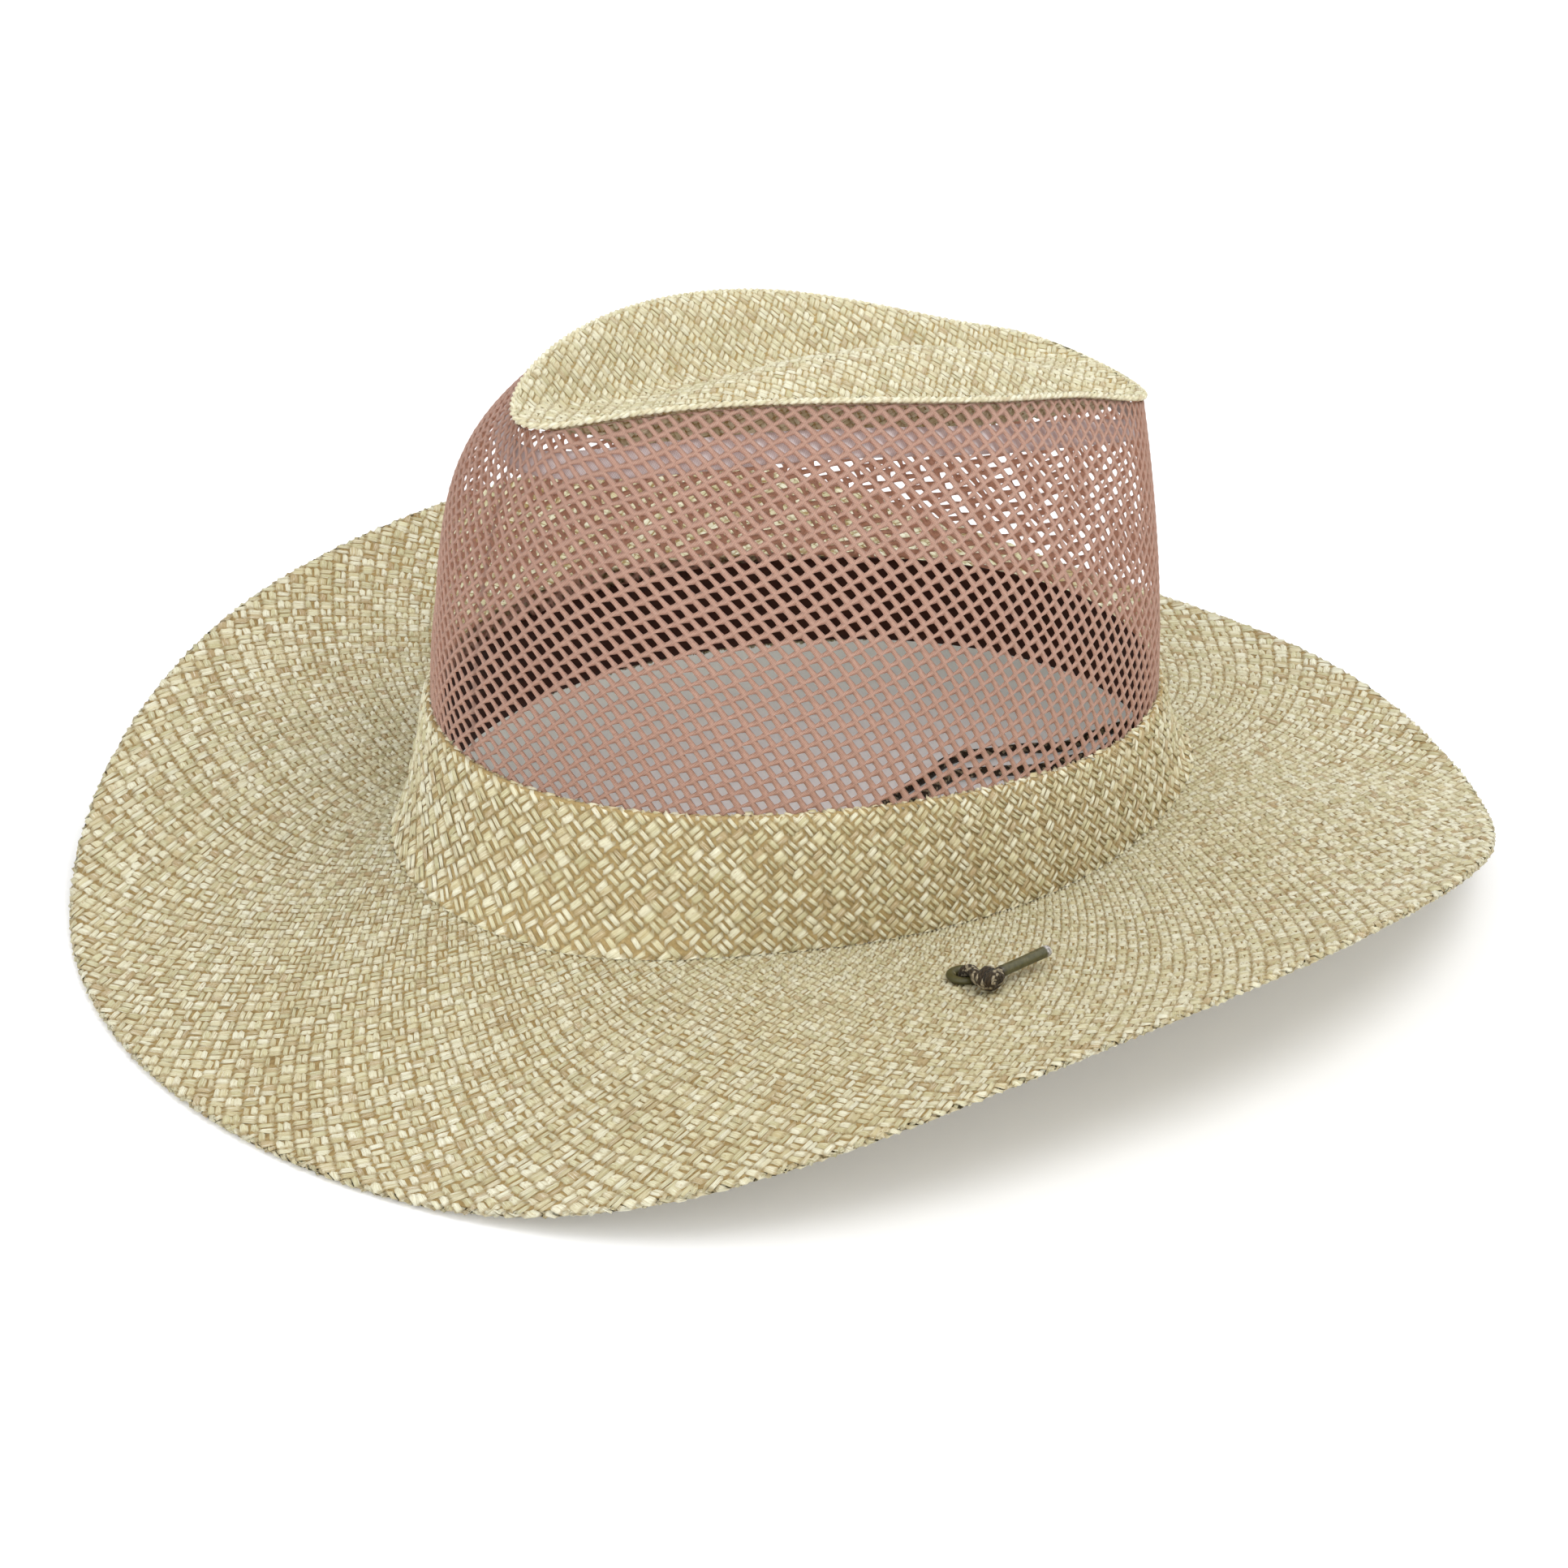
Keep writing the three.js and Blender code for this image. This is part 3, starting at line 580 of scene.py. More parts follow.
def aglet_look(name, near, far):
    """Olive plastic tube, clear grey at its cut end. near and far are where it starts and ends, in metres."""
    L = Look(name)
    ax = (Vector(far) - Vector(near))
    d = L.t.nodes.new("ShaderNodeVectorMath")
    d.operation = 'DOT_PRODUCT'
    L.set(d.inputs[0], L.vm('SUBTRACT', L.place(), tuple(near)))
    d.inputs[1].default_value = tuple(ax.normalized())
    t = L.m('DIVIDE', d.outputs["Value"], ax.length)
    n = L.noise(L.place(), 700.0, 4.0, .6)
    spot = L.noise(L.place(), 2100.0, 2.0, .5)
    col = L.ramp(n, [(.3, srgb(62, 60, 30)), (.6, srgb(80, 77, 44)), (.85, srgb(100, 96, 62))])
    col = L.blend(L.range(spot, .6, .7, 0, .5), col, srgb(50, 42, 26))
    col = L.blend(L.range(t, .90, .94), col, L.ramp(spot, [(.35, srgb(110, 108, 104)), (.6, srgb(196, 192, 190))]))
    col = L.blend(L.range(t, .10, .02), col, srgb(60, 54, 32))
    L.base(Base_Color=col, Roughness=L.range(n, .3, .7, .28, .46), Normal=L.bump(n, .00008, .6))
    L.bsdf.inputs["Coat Weight"].default_value = .3
    L.bsdf.inputs["Coat Roughness"].default_value = .25
    return L.mat


braid_mat = braid_look("cord_braid")

# ---------------------------------------------------------------- eyelet seats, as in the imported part
EY_X, EY_Y = 107.5, -31.3


def seat(side):
    a, r = math.atan2(EY_X, -EY_Y), math.hypot(EY_X, EY_Y)
    lo, hi = 0.0, 1.0
    for _ in range(40):
        m = (lo + hi) / 2
        p = brim(np.float64(a), np.float64(m))
        if math.hypot(p[0], p[1]) < r:
            lo = m
        else:
            hi = m
    e = 1e-3
    p = brim(a, np.float64(lo))
    n = unit(np.cross(brim(a + e, lo) - brim(a - e, lo), brim(a, lo + e) - brim(a, lo - e)))
    n = -n if n[2] < 0 else n
    y = unit(np.array([0, 1, 0]) - n * n[1])
    x = np.cross(y, n)
    if side > 0:
        return p, x, y, n, a, lo
    f = np.array([-1, 1, 1])
    return p * f, -(x * f), y * f, n * f, -a, lo


def at(s, x, y, z):
    return s[0] + s[1] * x + s[2] * y + s[3] * z


LEFT, RIGHT = seat(1), seat(-1)

# ---------------------------------------------------------------- chin cord first: the part's own route
CORD_WAY = [
    (103.5, -30.5, 13), (97, -27, 4.6), (86, -20, 1.9), (62, -4, 1.8), (36, 16, 1.8), (12, 31, 1.8), (-4, 42, 1.8),
    (-8, 52, 1.8), (-11, 63, 1.8), (-6, 74, 1.8), (0, 84, 1.8), (1.5, 95, 1.8), (6, 108, 1.8), (7, 120, 1.8),
    (1, 127, 1.8), (-5, 120, 1.8), (-6, 108, 1.8), (-6, 98, 1.8), (-12, 88, 1.8), (-15, 80, 1.8), (-19, 70, 1.8),
    (-15, 55, 1.8), (-12, 44, 1.8), (-8, 33, 1.8), (0, 12, 1.8), (4, -20, 1.8), (-6, -58, 1.8), (-38, -84, 1.8),
    (-74, -78, 1.8), (-95, -56, 2.6), (-102, -38, 11)]


def centripetal(pts, per=24):
    """The same curve as the part's cord: a centripetal Catmull-Rom line through the points."""
    p = np.array(pts, float)
    p = np.concatenate([[2 * p[0] - p[1]], p, [2 * p[-1] - p[-2]]])
    out = []
    w = np.linspace(0, 1, per, endpoint=False)[:, None]
    for k in range(1, len(p) - 2):
        d0, d1, d2 = (np.linalg.norm(p[k + i + 1] - p[k + i]) ** .5 for i in (-1, 0, 1))
        t1 = ((p[k] - p[k - 1]) / d0 - (p[k + 1] - p[k - 1]) / (d0 + d1) + (p[k + 1] - p[k]) / d1) * d1
        t2 = ((p[k + 1] - p[k]) / d1 - (p[k + 2] - p[k]) / (d1 + d2) + (p[k + 2] - p[k + 1]) / d2) * d1
        out.append((2 * w ** 3 - 3 * w ** 2 + 1) * p[k] + (w ** 3 - 2 * w ** 2 + w) * t1
                   + (-2 * w ** 3 + 3 * w ** 2) * p[k + 1] + (w ** 3 - w ** 2) * t2)
    return np.concatenate(out + [p[-2:-1]])


def rise(s):
    return [at(s, 0, 0, z) for z in (2.3, .4, -2.6, -6.5)]


CORD_D = 3.0
cord_line = even(put(centripetal(rise(LEFT) + [np.array(q, float) for q in CORD_WAY] + rise(RIGHT)[::-1])), 1.3 * MM)


def braid_relief(d, turn):
    a = turn * 8 + d / 1.25
    b = turn * 8 - d / 1.25
    return 1 + .035 * (np.abs(np.sin(np.pi * a)) * (np.floor(a) + np.floor(b)) % 2 - .5)


chin_cord = tube("chin_cord_braid", cord_line, CORD_D / 2 * MM, 16, braid_mat)
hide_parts("chin_cord")


# knots: the cord's end bends out of its eyelet over the flange, winds twice round itself beside it and leaves between the two turns
KX, KY, KZ = 10.3, -.4, 4.6


def knot_line():
    """The line of the cord's end through its knot: outward, back, up from the eyelet's seat, in mm."""
    start = [(0, 0, 1.6), (.2, 0, 2.4), (.9, -.03, 3.2), (2.2, -.1, 3.85), (4.0, -.3, 4.05), (5.7, -.9, 4.1)]
    phi = np.radians(np.arange(205, 880, 22.5))
    q = (phi - phi[0]) / (phi[-1] - phi[0])
    x = 7.55 + 5.0 * (q * .75 + .25 * (q + np.sin(4 * np.pi * q - .6) / (4 * np.pi)))
    swell = 1 - .10 * np.abs(2 * q - 1)
    coil = np.stack([x, KY + 2.35 * swell * np.cos(phi) - .25 * np.sin(phi), KZ + 1.62 * swell * np.sin(phi)], -1)
    stop = [(12.1, -1.1, 4.2), (10.9, -.2, 4.3), (9.8, 1.2, 4.5), (9.25, 2.7, 4.6), (9.1, 3.9, 4.6), (9.0, 5.0, 4.62)]
    return np.array(start + [tuple(c) for c in coil] + stop)


def knot(side, s, name, node):
    line = centripetal(knot_line() * np.array([side, 1, 1]), 8)
    world = np.stack([at(s, *q) for q in line])
    line = even(put(world), .42 * MM)
    d = along(line) / MM
    fat = 1.42 + .06 * np.sin(d * 1.9) + .05 * np.sin(d * 4.3 + 1)
    ob = tube(name, line, fat * MM, 16, braid_mat, relief=braid_relief)
    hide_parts(node)
    return ob


knot_left = knot(1, LEFT, "knot_left_braid", "cord_knot_left")
knot_right = knot(-1, RIGHT, "knot_right_braid", "cord_knot_right")


def aglet(side, s, name, node):
    length = 17.0
    mid = lambda k: np.array([side * (9.1 - .085 * k), 3.85 + k, KZ + .023 * k])
    ks = np.array([0, .15, .5, 1.2, 2.0, 4, 6, 8, 10, 12, 14, 15.6, 16.2, 16.7, 17.0, 17.0, 16.8, 15.7])
    rs = np.array([1.25, 1.45, 1.56, 1.58, 1.53, 1.50, 1.54, 1.50, 1.53, 1.54, 1.55, 1.53, 1.58, 1.52, 1.44, 1.12, 1.0, .98])
    sides = 32
    b = PI2 * np.arange(sides) / sides
    ax = unit(mid(1) - mid(0))
    u = unit(np.cross(ax, (0, 0, 1)))
    v = np.cross(ax, u)
    rings = []
    for k, r in zip(ks, rs):
        q = mid(k) + r * (np.cos(b)[:, None] * u + np.sin(b)[:, None] * v * (1 - .06 * math.sin(math.pi * min(k, length) / length)))
        rings.append(q)
    local = np.concatenate(rings + [mid(0)[None], mid(15.4)[None]])
    world = put(np.stack([at(s, *q) for q in local]))
    n = len(ks)
    i = np.arange(sides)
    faces = [quads(n, sides, wrap_cols=True)]
    faces.append(np.stack([np.full(sides, n * sides), (i + 1) % sides, i], -1))
    faces.append(np.stack([np.full(sides, n * sides + 1), (n - 1) * sides + i, (n - 1) * sides + (i + 1) % sides], -1))
    ends = put(np.stack([at(s, *mid(0)), at(s, *mid(length))]))
    mat = aglet_look("aglet_plastic_" + ("left" if side > 0 else "right"), ends[0], ends[1])
    ob = make(name, world, faces, mat)
    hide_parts(node)
    return ob


aglet_left = aglet(1, LEFT, "aglet_left_tube", "cord_aglet_left")
aglet_right = aglet(-1, RIGHT, "aglet_right_tube", "cord_aglet_right")

tuple(put(at(LEFT, 0, 0, 0)))


# ---------------------------------------------------------------- eyelets
def eyelet(side, s, name, node, mat):
    h = ST / 2 + .12
    prof = [(2.15, -h - .6), (2.45, -h - .82), (3.2, -h - .85), (3.85, -h - .6), (4.0, -h - .25), (3.8, -h), (2.95, -h + .1), (2.9, 0),
            (2.95, h - .1), (4.3, h - .05), (4.55, h + .2), (4.62, h + .55), (4.5, h + .95), (4.15, h + 1.3), (3.6, h + 1.5),
            (3.05, h + 1.45), (2.6, h + 1.15), (2.3, h + .7), (2.15, h + .2), (2.1, 0)]
    n, sides = len(prof), 56
    b = PI2 * np.arange(sides) / sides
    rings = []
    for k, (r, z) in enumerate(prof):
        wob = 1 + .006 * np.sin(3 * b + k * .3)
        rings.append(np.stack([r * np.cos(b) * wob, r * np.sin(b) * wob, np.full(sides, z)], -1))
    local = np.concatenate(rings)
    world = put(s[0] + local[:, :1] * s[1] + local[:, 1:2] * s[2] + local[:, 2:] * s[3])
    faces = quads(n, sides, wrap_rows=True, wrap_cols=True)
    ob = make(name, world, faces, mat)
    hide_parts(node)
    return ob


enamel = enamel_look("eyelet_metal")
eyelet_left = eyelet(1, LEFT, "eyelet_left_ring", "eyelet_left", enamel)
eyelet_right = eyelet(-1, RIGHT, "eyelet_right_ring", "eyelet_right", enamel)


# ---------------------------------------------------------------- woven straw
class Ring:
    """A surface f(a, s) with a square lattice on it: N repeats round, and as many up as keep the cells square."""

    def __init__(self, f, N, s0, s1, up, na=720, ns=200, fall=0.0):
        self.f, self.N, self.up, self.na, self.ns = f, N, up, na, ns
        a, s = np.linspace(0, PI2, na + 1), np.linspace(s0, s1, ns + 1)
        A, S = np.meshgrid(a, s, indexing='ij')
        P = f(A, S)
        e = 1e-3
        da = np.linalg.norm(f(A + e, S) - f(A - e, S), axis=-1) / (2 * e)
        ds = np.linalg.norm(np.diff(P, axis=1), axis=-1)
        dv = N / PI2 * ds / ((da[:, 1:] + da[:, :-1]) / 2)
        V = np.concatenate([np.zeros((na + 1, 1)), np.cumsum(dv, axis=1)], axis=1)
        self.vmax = V[:, -1].copy()
        q = np.linspace(0, 1, ns + 1)
        self.table = np.stack([np.interp(q * self.vmax[i], V[i], s) for i in range(na + 1)])

    def top(self, u):
        return np.interp((u / self.N) % 1.0, np.linspace(0, 1, self.na + 1), self.vmax)

    def param(self, u, v):
        w = (u / self.N) % 1.0
        q = np.clip(v / self.top(u), 0, 1)
        i = w * self.na
        j = q * self.ns
        i0, j0 = np.minimum(i.astype(int), self.na - 1), np.minimum(j.astype(int), self.ns - 1)
        fi, fj = i - i0, j - j0
        T = self.table
        s = (T[i0, j0] * (1 - fi) + T[i0 + 1, j0] * fi) * (1 - fj) + (T[i0, j0 + 1] * (1 - fi) + T[i0 + 1, j0 + 1] * fi) * fj
        return w * PI2, s

    def raised(self, u, v, h):
        a, s = self.param(u, v)
        return self.f(a, s) + normals(self.f, a, s, self.up) * h[..., None], a, s


def strands(name, surf, fam, mat, vlo, vhi, amp=.50, edge=.20, width=.97, skip=None, uvmap=None, seed=1, count=None, rows=(.22, .78), wob=1.0, flare_edge=False):
    """One family of the weave: every pair has two strands side by side, each an arch three vertices wide that goes over one crossing pair and under the next.
    vlo is the lattice row where they start and vhi(u) where they end."""
    g = np.random.default_rng(seed)
    N = surf.N
    n = N * 2
    fixed = (np.arange(N)[:, None] + np.array([.25, .75])[None, :]).ravel()
    vt = float(np.max(surf.vmax))
    cells = int(math.ceil(2 * (vt - vlo))) + 3
    K = cells * 2
    k = np.arange(K)
    if fam == 'A':
        first = np.floor(fixed + 2 * vlo) - 1
        cell = first[:, None] + (k // 2)[None, :]
        run = cell + np.where(k % 2 == 0, rows[0], rows[1])[None, :]
    else:
        first = np.floor(fixed - 2 * vlo) + 1
        cell = first[:, None] - (k // 2)[None, :]
        run = cell + np.where(k % 2 == 0, rows[1], rows[0])[None, :]
    odd = (cell + np.floor(fixed)[:, None]) % 2
    over = np.where(odd == (0 if fam == 'A' else 1), 1.0, -1.0)
    # per float: a little more or less height and a sideways drift; per strand: its own width
    per = g.normal(0, 1, (n, cells))
    lift = 1 + .22 * wob * np.repeat(per, 2, axis=1)
    drift = .050 * wob * np.repeat(g.normal(0, 1, (n, cells)), 2, axis=1) + .022 * wob * g.normal(0, 1, (n, K))
    run = run + .045 * wob * g.normal(0, 1, (n, K))
    fat = width * (1 + .09 * wob * g.normal(0, 1, n))[:, None] * (1 + .15 * wob * np.clip(np.repeat(g.normal(0, 1, (n, cells)), 2, axis=1), -2, 2))
    cols = np.array([-1.0, 0.0, 1.0])
    cc = (fixed[:, None] + drift)[..., None] + .25 * fat[..., None] * cols
    rr = np.broadcast_to(run[..., None], cc.shape)
    u = (rr + cc) / 2
    v = (rr - cc) / 2 if fam == 'A' else (cc - rr) / 2
    top = vhi(u)
    below, above = v < vlo, v > top
    v = np.clip(v, vlo, top)
    h = (over * lift)[..., None] * np.where(cols == 0, amp, edge)
    if flare_edge:
        h = h * (1 - .45 * smooth((surf.param(u, v)[1] - .975) / .02))
    P, a, s = surf.raised(u, v, h)
    verts = put(P).reshape(-1, 3)
    rows_n = K
    idx = np.arange(n * K * 3).reshape(n, K, 3)
    q = np.stack([idx[:, :-1, :-1], idx[:, 1:, :-1], idx[:, 1:, 1:], idx[:, :-1, 1:]], -1)
    lowq = np.stack([below[:, :-1, :-1], below[:, 1:, :-1], below[:, 1:, 1:], below[:, :-1, 1:]], -1).all(-1)
    highq = np.stack([above[:, :-1, :-1], above[:, 1:, :-1], above[:, 1:, 1:], above[:, :-1, 1:]], -1).all(-1)
    keep = ~(lowq | highq)
    if skip is not None:
        mid = P.reshape(n, K, 3, 3)
        c = (mid[:, :-1, :-1] + mid[:, 1:, :-1] + mid[:, 1:, 1:] + mid[:, :-1, 1:]) / 4
        keep &= ~skip(c)
    faces = q[keep]
    # the upper side of the sheet has to be the outer side of every face
    if fam == 'A':
        faces = faces[:, ::-1]
    fa = P.reshape(-1, 3)
    nn = np.cross(fa[faces[:, 1]] - fa[faces[:, 0]], fa[faces[:, 3]] - fa[faces[:, 0]])
    aa, ss = a.reshape(-1), s.reshape(-1)
    nrm = normals(surf.f, aa[faces[:, 0]], ss[faces[:, 0]], surf.up)
    if np.mean(np.sum(nn * nrm, -1) > 0) < .5:
        faces = faces[:, ::-1]
    number = np.broadcast_to(np.arange(n)[:, None, None] + 1000.0 * seed, u.shape)
    straw = np.stack([rr + np.floor(97 * g.random(n))[:, None, None], np.broadcast_to(cols, u.shape), number], -1).reshape(-1, 3)
    dive = np.clip(.5 - .5 * over[..., None] * np.ones(3), 0, 1)
    # low feeds painted shade in the straw material: .35 on a strand's two sides, 0 along its middle
    low = np.where(over[..., None] > 0, 0.0, 0.0) + np.where(cols == 0, 0.0, .35)
    low = np.broadcast_to(low, u.shape).reshape(-1)
    uv = uvmap(P, a, s).reshape(-1, 2)
    used, faces = np.unique(faces, return_inverse=True)
    faces = faces.reshape(-1, 4)
    return make(name, verts[used], faces, mat, uv=uv[used], attrs={"straw": straw[used], "low": low[used]})


def plan_uv(P, a=None, s=None):
    """Plan places; what lies under the turned edge is laid out further from the middle."""
    if s is None:
        return np.stack([(P[..., 0] + 200) / 400, (P[..., 1] + 200) / 400], -1)
    ring = brim(a, np.minimum(s, HEM_IN))
    r = np.hypot(ring[..., 0], ring[..., 1])
    k = 1 + np.maximum(s - HEM_IN, 0) * 90 / r
    return np.stack([(ring[..., 0] * k + 205) / 410, (ring[..., 1] * k + 205) / 410], -1)


def sheet_mesh(name, surf, f, u_n, s_vals, mat, uvmap, holes=(), h=0.0, flip=False):
    """A plain sheet under a weave, coloured as painted shade for its gaps, with round holes at the eyelets."""
    a = np.linspace(0, PI2, u_n, endpoint=False)
    A, S = np.meshgrid(a, s_vals, indexing='ij')
    P = f(A, S)
    if h:
        P = P + normals(f, A, S, surf.up) * h
    verts, faces = P.reshape(-1, 3), quads(u_n, len(s_vals), wrap_rows=True)
    cols = len(s_vals)
    new_v, new_f = [], []
    for st, radius in holes:
        c = verts[faces].mean(1)
        near = np.linalg.norm(c - st[0], axis=1) < radius + 4.5
        gone = faces[near]
        faces = faces[~near]
        edges = {}
        for q in gone:
            for i in range(4):
                e = (int(q[i]), int(q[(i + 1) % 4]))
                edges[e] = True
        rim = [e for e in edges if (e[1], e[0]) not in edges]
        ring = {}
        base = len(verts) + sum(len(v) for v in new_v)
        added = []
        for e in rim:
            for w in e:
                if w not in ring:
                    d = verts[w] - st[0]
                    x, y = np.dot(d, st[1]), np.dot(d, st[2])
                    m = math.hypot(x, y)
                    ring[w] = base + len(added)
                    added.append(st[0] + (st[1] * x + st[2] * y) / m * radius)
        new_v.append(np.array(added))
        new_f += [(e[0], e[1], ring[e[1]], ring[e[0]]) for e in rim]
    if new_v:
        verts = np.concatenate([verts] + new_v)
        faces = np.concatenate([faces, np.array(new_f)])
    if flip:
        faces = faces[:, ::-1]
    return make(name, put(verts), faces, mat, uv=uvmap(verts, None, None))


def near_eyelet(c):
    out = np.zeros(c.shape[:-1], bool)
    for st in (LEFT, RIGHT):
        out |= np.linalg.norm(c - st[0], axis=-1) < 3.45
    return out


# each weave's two strand families get their own copy of the straw; the darker, browner copy of the brim and of the band
# is partly the straw's own tone and partly painted shade
straw_brim = straw_look("straw_brim", 1.0, .04, .09)
straw_brim_b = straw_look("straw_brim_b", .98, .09, .13)
straw_band = straw_look("straw_band", 1.17, .03, .08)
straw_band_a = straw_look("straw_band_a", 1.12, .10, .18)
straw_tip = straw_look("straw_tip", 1.09, .06, .14, .12, .5)
# painted shade: the brown sheets under the weaves below stand in for the shadow seen in the gaps between strands
gap_shade_mat = gap_shade_look("straw_gap_shade", 152, 130, 88)
band_gap_shade_mat = gap_shade_look("straw_band_gap_shade", 172, 150, 106)
tip_gap_shade_mat = gap_shade_look("straw_tip_gap_shade", 176, 154, 108)

# brim: its weave runs out to the edge, over it and back a little way underneath
BRIM_N = 204
HEM0, EDGE_R = .953, .8
HEM_IN = .995            # where the turn starts


def brim_mid(a, s):
    """The brim's straw, past its edge at s = 1 the turned part: half a round, then back inward underneath."""
    s = np.asarray(s, float)
    inner = np.minimum(s, HEM_IN)
    p = brim(a, inner)
    thick = smooth((inner - HEM0 + .012) / .02) * .4
    e = 1e-3
    t = brim(a, inner + e) - brim(a, inner - e)
    t = unit(t)
    n = normals(brim, a, inner, -1)
    over = np.maximum(s - HEM_IN, 0)
    turn = np.clip(over / .04, 0, 1) * np.pi
    back = np.maximum(over - .04, 0) * 78
    x = EDGE_R * np.sin(turn) - back
    z = thick - EDGE_R * (1 - np.cos(turn))
    return p + t * x[..., None] + n * z[..., None]


brim_ring = Ring(brim_mid, BRIM_N, 0.0, 1.085, -1, ns=400)
brim_a = strands("brim_weave_a", brim_ring, 'A', straw_brim, 0.0, brim_ring.top, amp=.70, edge=.08, width=.88, skip=near_eyelet, uvmap=plan_uv, seed=3, flare_edge=True)
brim_b = strands("brim_weave_b", brim_ring, 'B', straw_brim_b, 0.0, brim_ring.top, amp=.70, edge=.08, width=.88, skip=near_eyelet, uvmap=plan_uv, seed=4, flare_edge=True)
# a brown sheet under the brim's weave, painted shade for its gaps
brim_gap_shade = sheet_mesh("brim_gap_shade", brim_ring, brim_mid, 300, np.concatenate([np.linspace(0, .94, 24), [.95, .965, .98, .99, 1.05, 1.085]]),
                       gap_shade_mat, plan_uv, holes=((LEFT, 3.2), (RIGHT, 3.2)))
for ob in (brim_a, brim_b, brim_gap_shade):
    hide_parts("brim")

# band
BAND_N = 114
band_ring = Ring(band_mid, BAND_N, 0.0, 1.05, 1)


def band_uv(P, a, s):
    ang = np.arctan2(P[..., 0], -P[..., 1]) if a is None else wrap(a)
    z = P[..., 2]
    return np.stack([ang / PI2 * .98 + .5, (z - 15) / 60], -1)


band_a = strands("band_weave_a", band_ring, 'A', straw_band_a, 0.0, band_ring.top, amp=.58, edge=.16, width=.86, uvmap=band_uv, seed=5)
band_b = strands("band_weave_b", band_ring, 'B', straw_band, 0.0, band_ring.top, amp=.90, edge=.20, width=.60, uvmap=band_uv, seed=6, rows=(.14, .86))
# a brown sheet under the band's weave, painted shade for its gaps
band_gap_shade = sheet_mesh("band_gap_shade", band_ring, band_mid, 240, np.concatenate([np.linspace(0, 1, 12), [1.0125, 1.025, 1.0375, 1.05]]), band_gap_shade_mat, band_uv, flip=True)
for ob in (band_a, band_b, band_gap_shade):
    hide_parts("crown_band")


# tip: the same weave laid flat over the dented top
class Flat:
    def __init__(self, L):
        self.L = L

    def clampxy(self, x, y):
        y = np.clip(y, TCY - THL + .05, TCY + THL - .05)
        at_ = np.arccos(np.clip((TCY - y) / THL, -1, 1))
        w = np.maximum(tip_width(at_) - .35, .02)
        out = np.abs(x) > w
        return np.clip(x, -w, w), y, out

    def across(self, arc, y):
        """The place x that lies arc mm along the straw from the middle line, and whether it is past the edge."""
        if not hasattr(self, 'rows'):
            self.rows = np.linspace(TCY - THL + .3, TCY + THL - .3, 240)
            self.q = np.linspace(0, 1, 160)
            w = np.maximum(tip_width(np.arccos(np.clip((TCY - self.rows) / THL, -1, 1))) - .35, .02)
            X = w[:, None] * self.q[None, :]
            Z = tip_z(X, np.broadcast_to(self.rows[:, None], X.shape))
            # along the middle line the lattice stays square; across it follows the straw
            self.D = np.concatenate([np.zeros((240, 1)), np.cumsum(np.hypot(np.diff(X, axis=1), .85 * np.diff(Z, axis=1)), axis=1)], axis=1)
            self.X = X
            self.arcs = np.linspace(0, 1, 200)
            self.T = np.stack([np.interp(self.arcs * self.D[i, -1], self.D[i], X[i]) for i in range(240)])
        f = np.clip((y - self.rows[0]) / (self.rows[-1] - self.rows[0]), 0, 1) * 239
        i = np.minimum(f.astype(int), 238)
        t = f - i
        full = self.D[i, -1] * (1 - t) + self.D[i + 1, -1] * t
        g = np.clip(np.abs(arc) / full, 0, 1) * 199
        j = np.minimum(g.astype(int), 198)
        r = g - j
        T = self.T
        x = (T[i, j] * (1 - t) + T[i + 1, j] * t) * (1 - r) + (T[i, j + 1] * (1 - t) + T[i + 1, j + 1] * t) * r
        return np.sign(arc) * x, np.abs(arc) > full

    def raised(self, x, y, h):
        e = .05
        zx = (tip_z(x + e, y) - tip_z(x - e, y)) / (2 * e)
        zy = (tip_z(x, y + e) - tip_z(x, y - e)) / (2 * e)
        zx, zy = np.clip(zx, -2.5, 2.5), np.clip(zy, -2.5, 2.5)
        n = unit(np.stack([-zx, -zy, np.ones_like(zx)], -1))
        return np.stack([x, y, tip_z(x, y)], -1) + n * h[..., None]


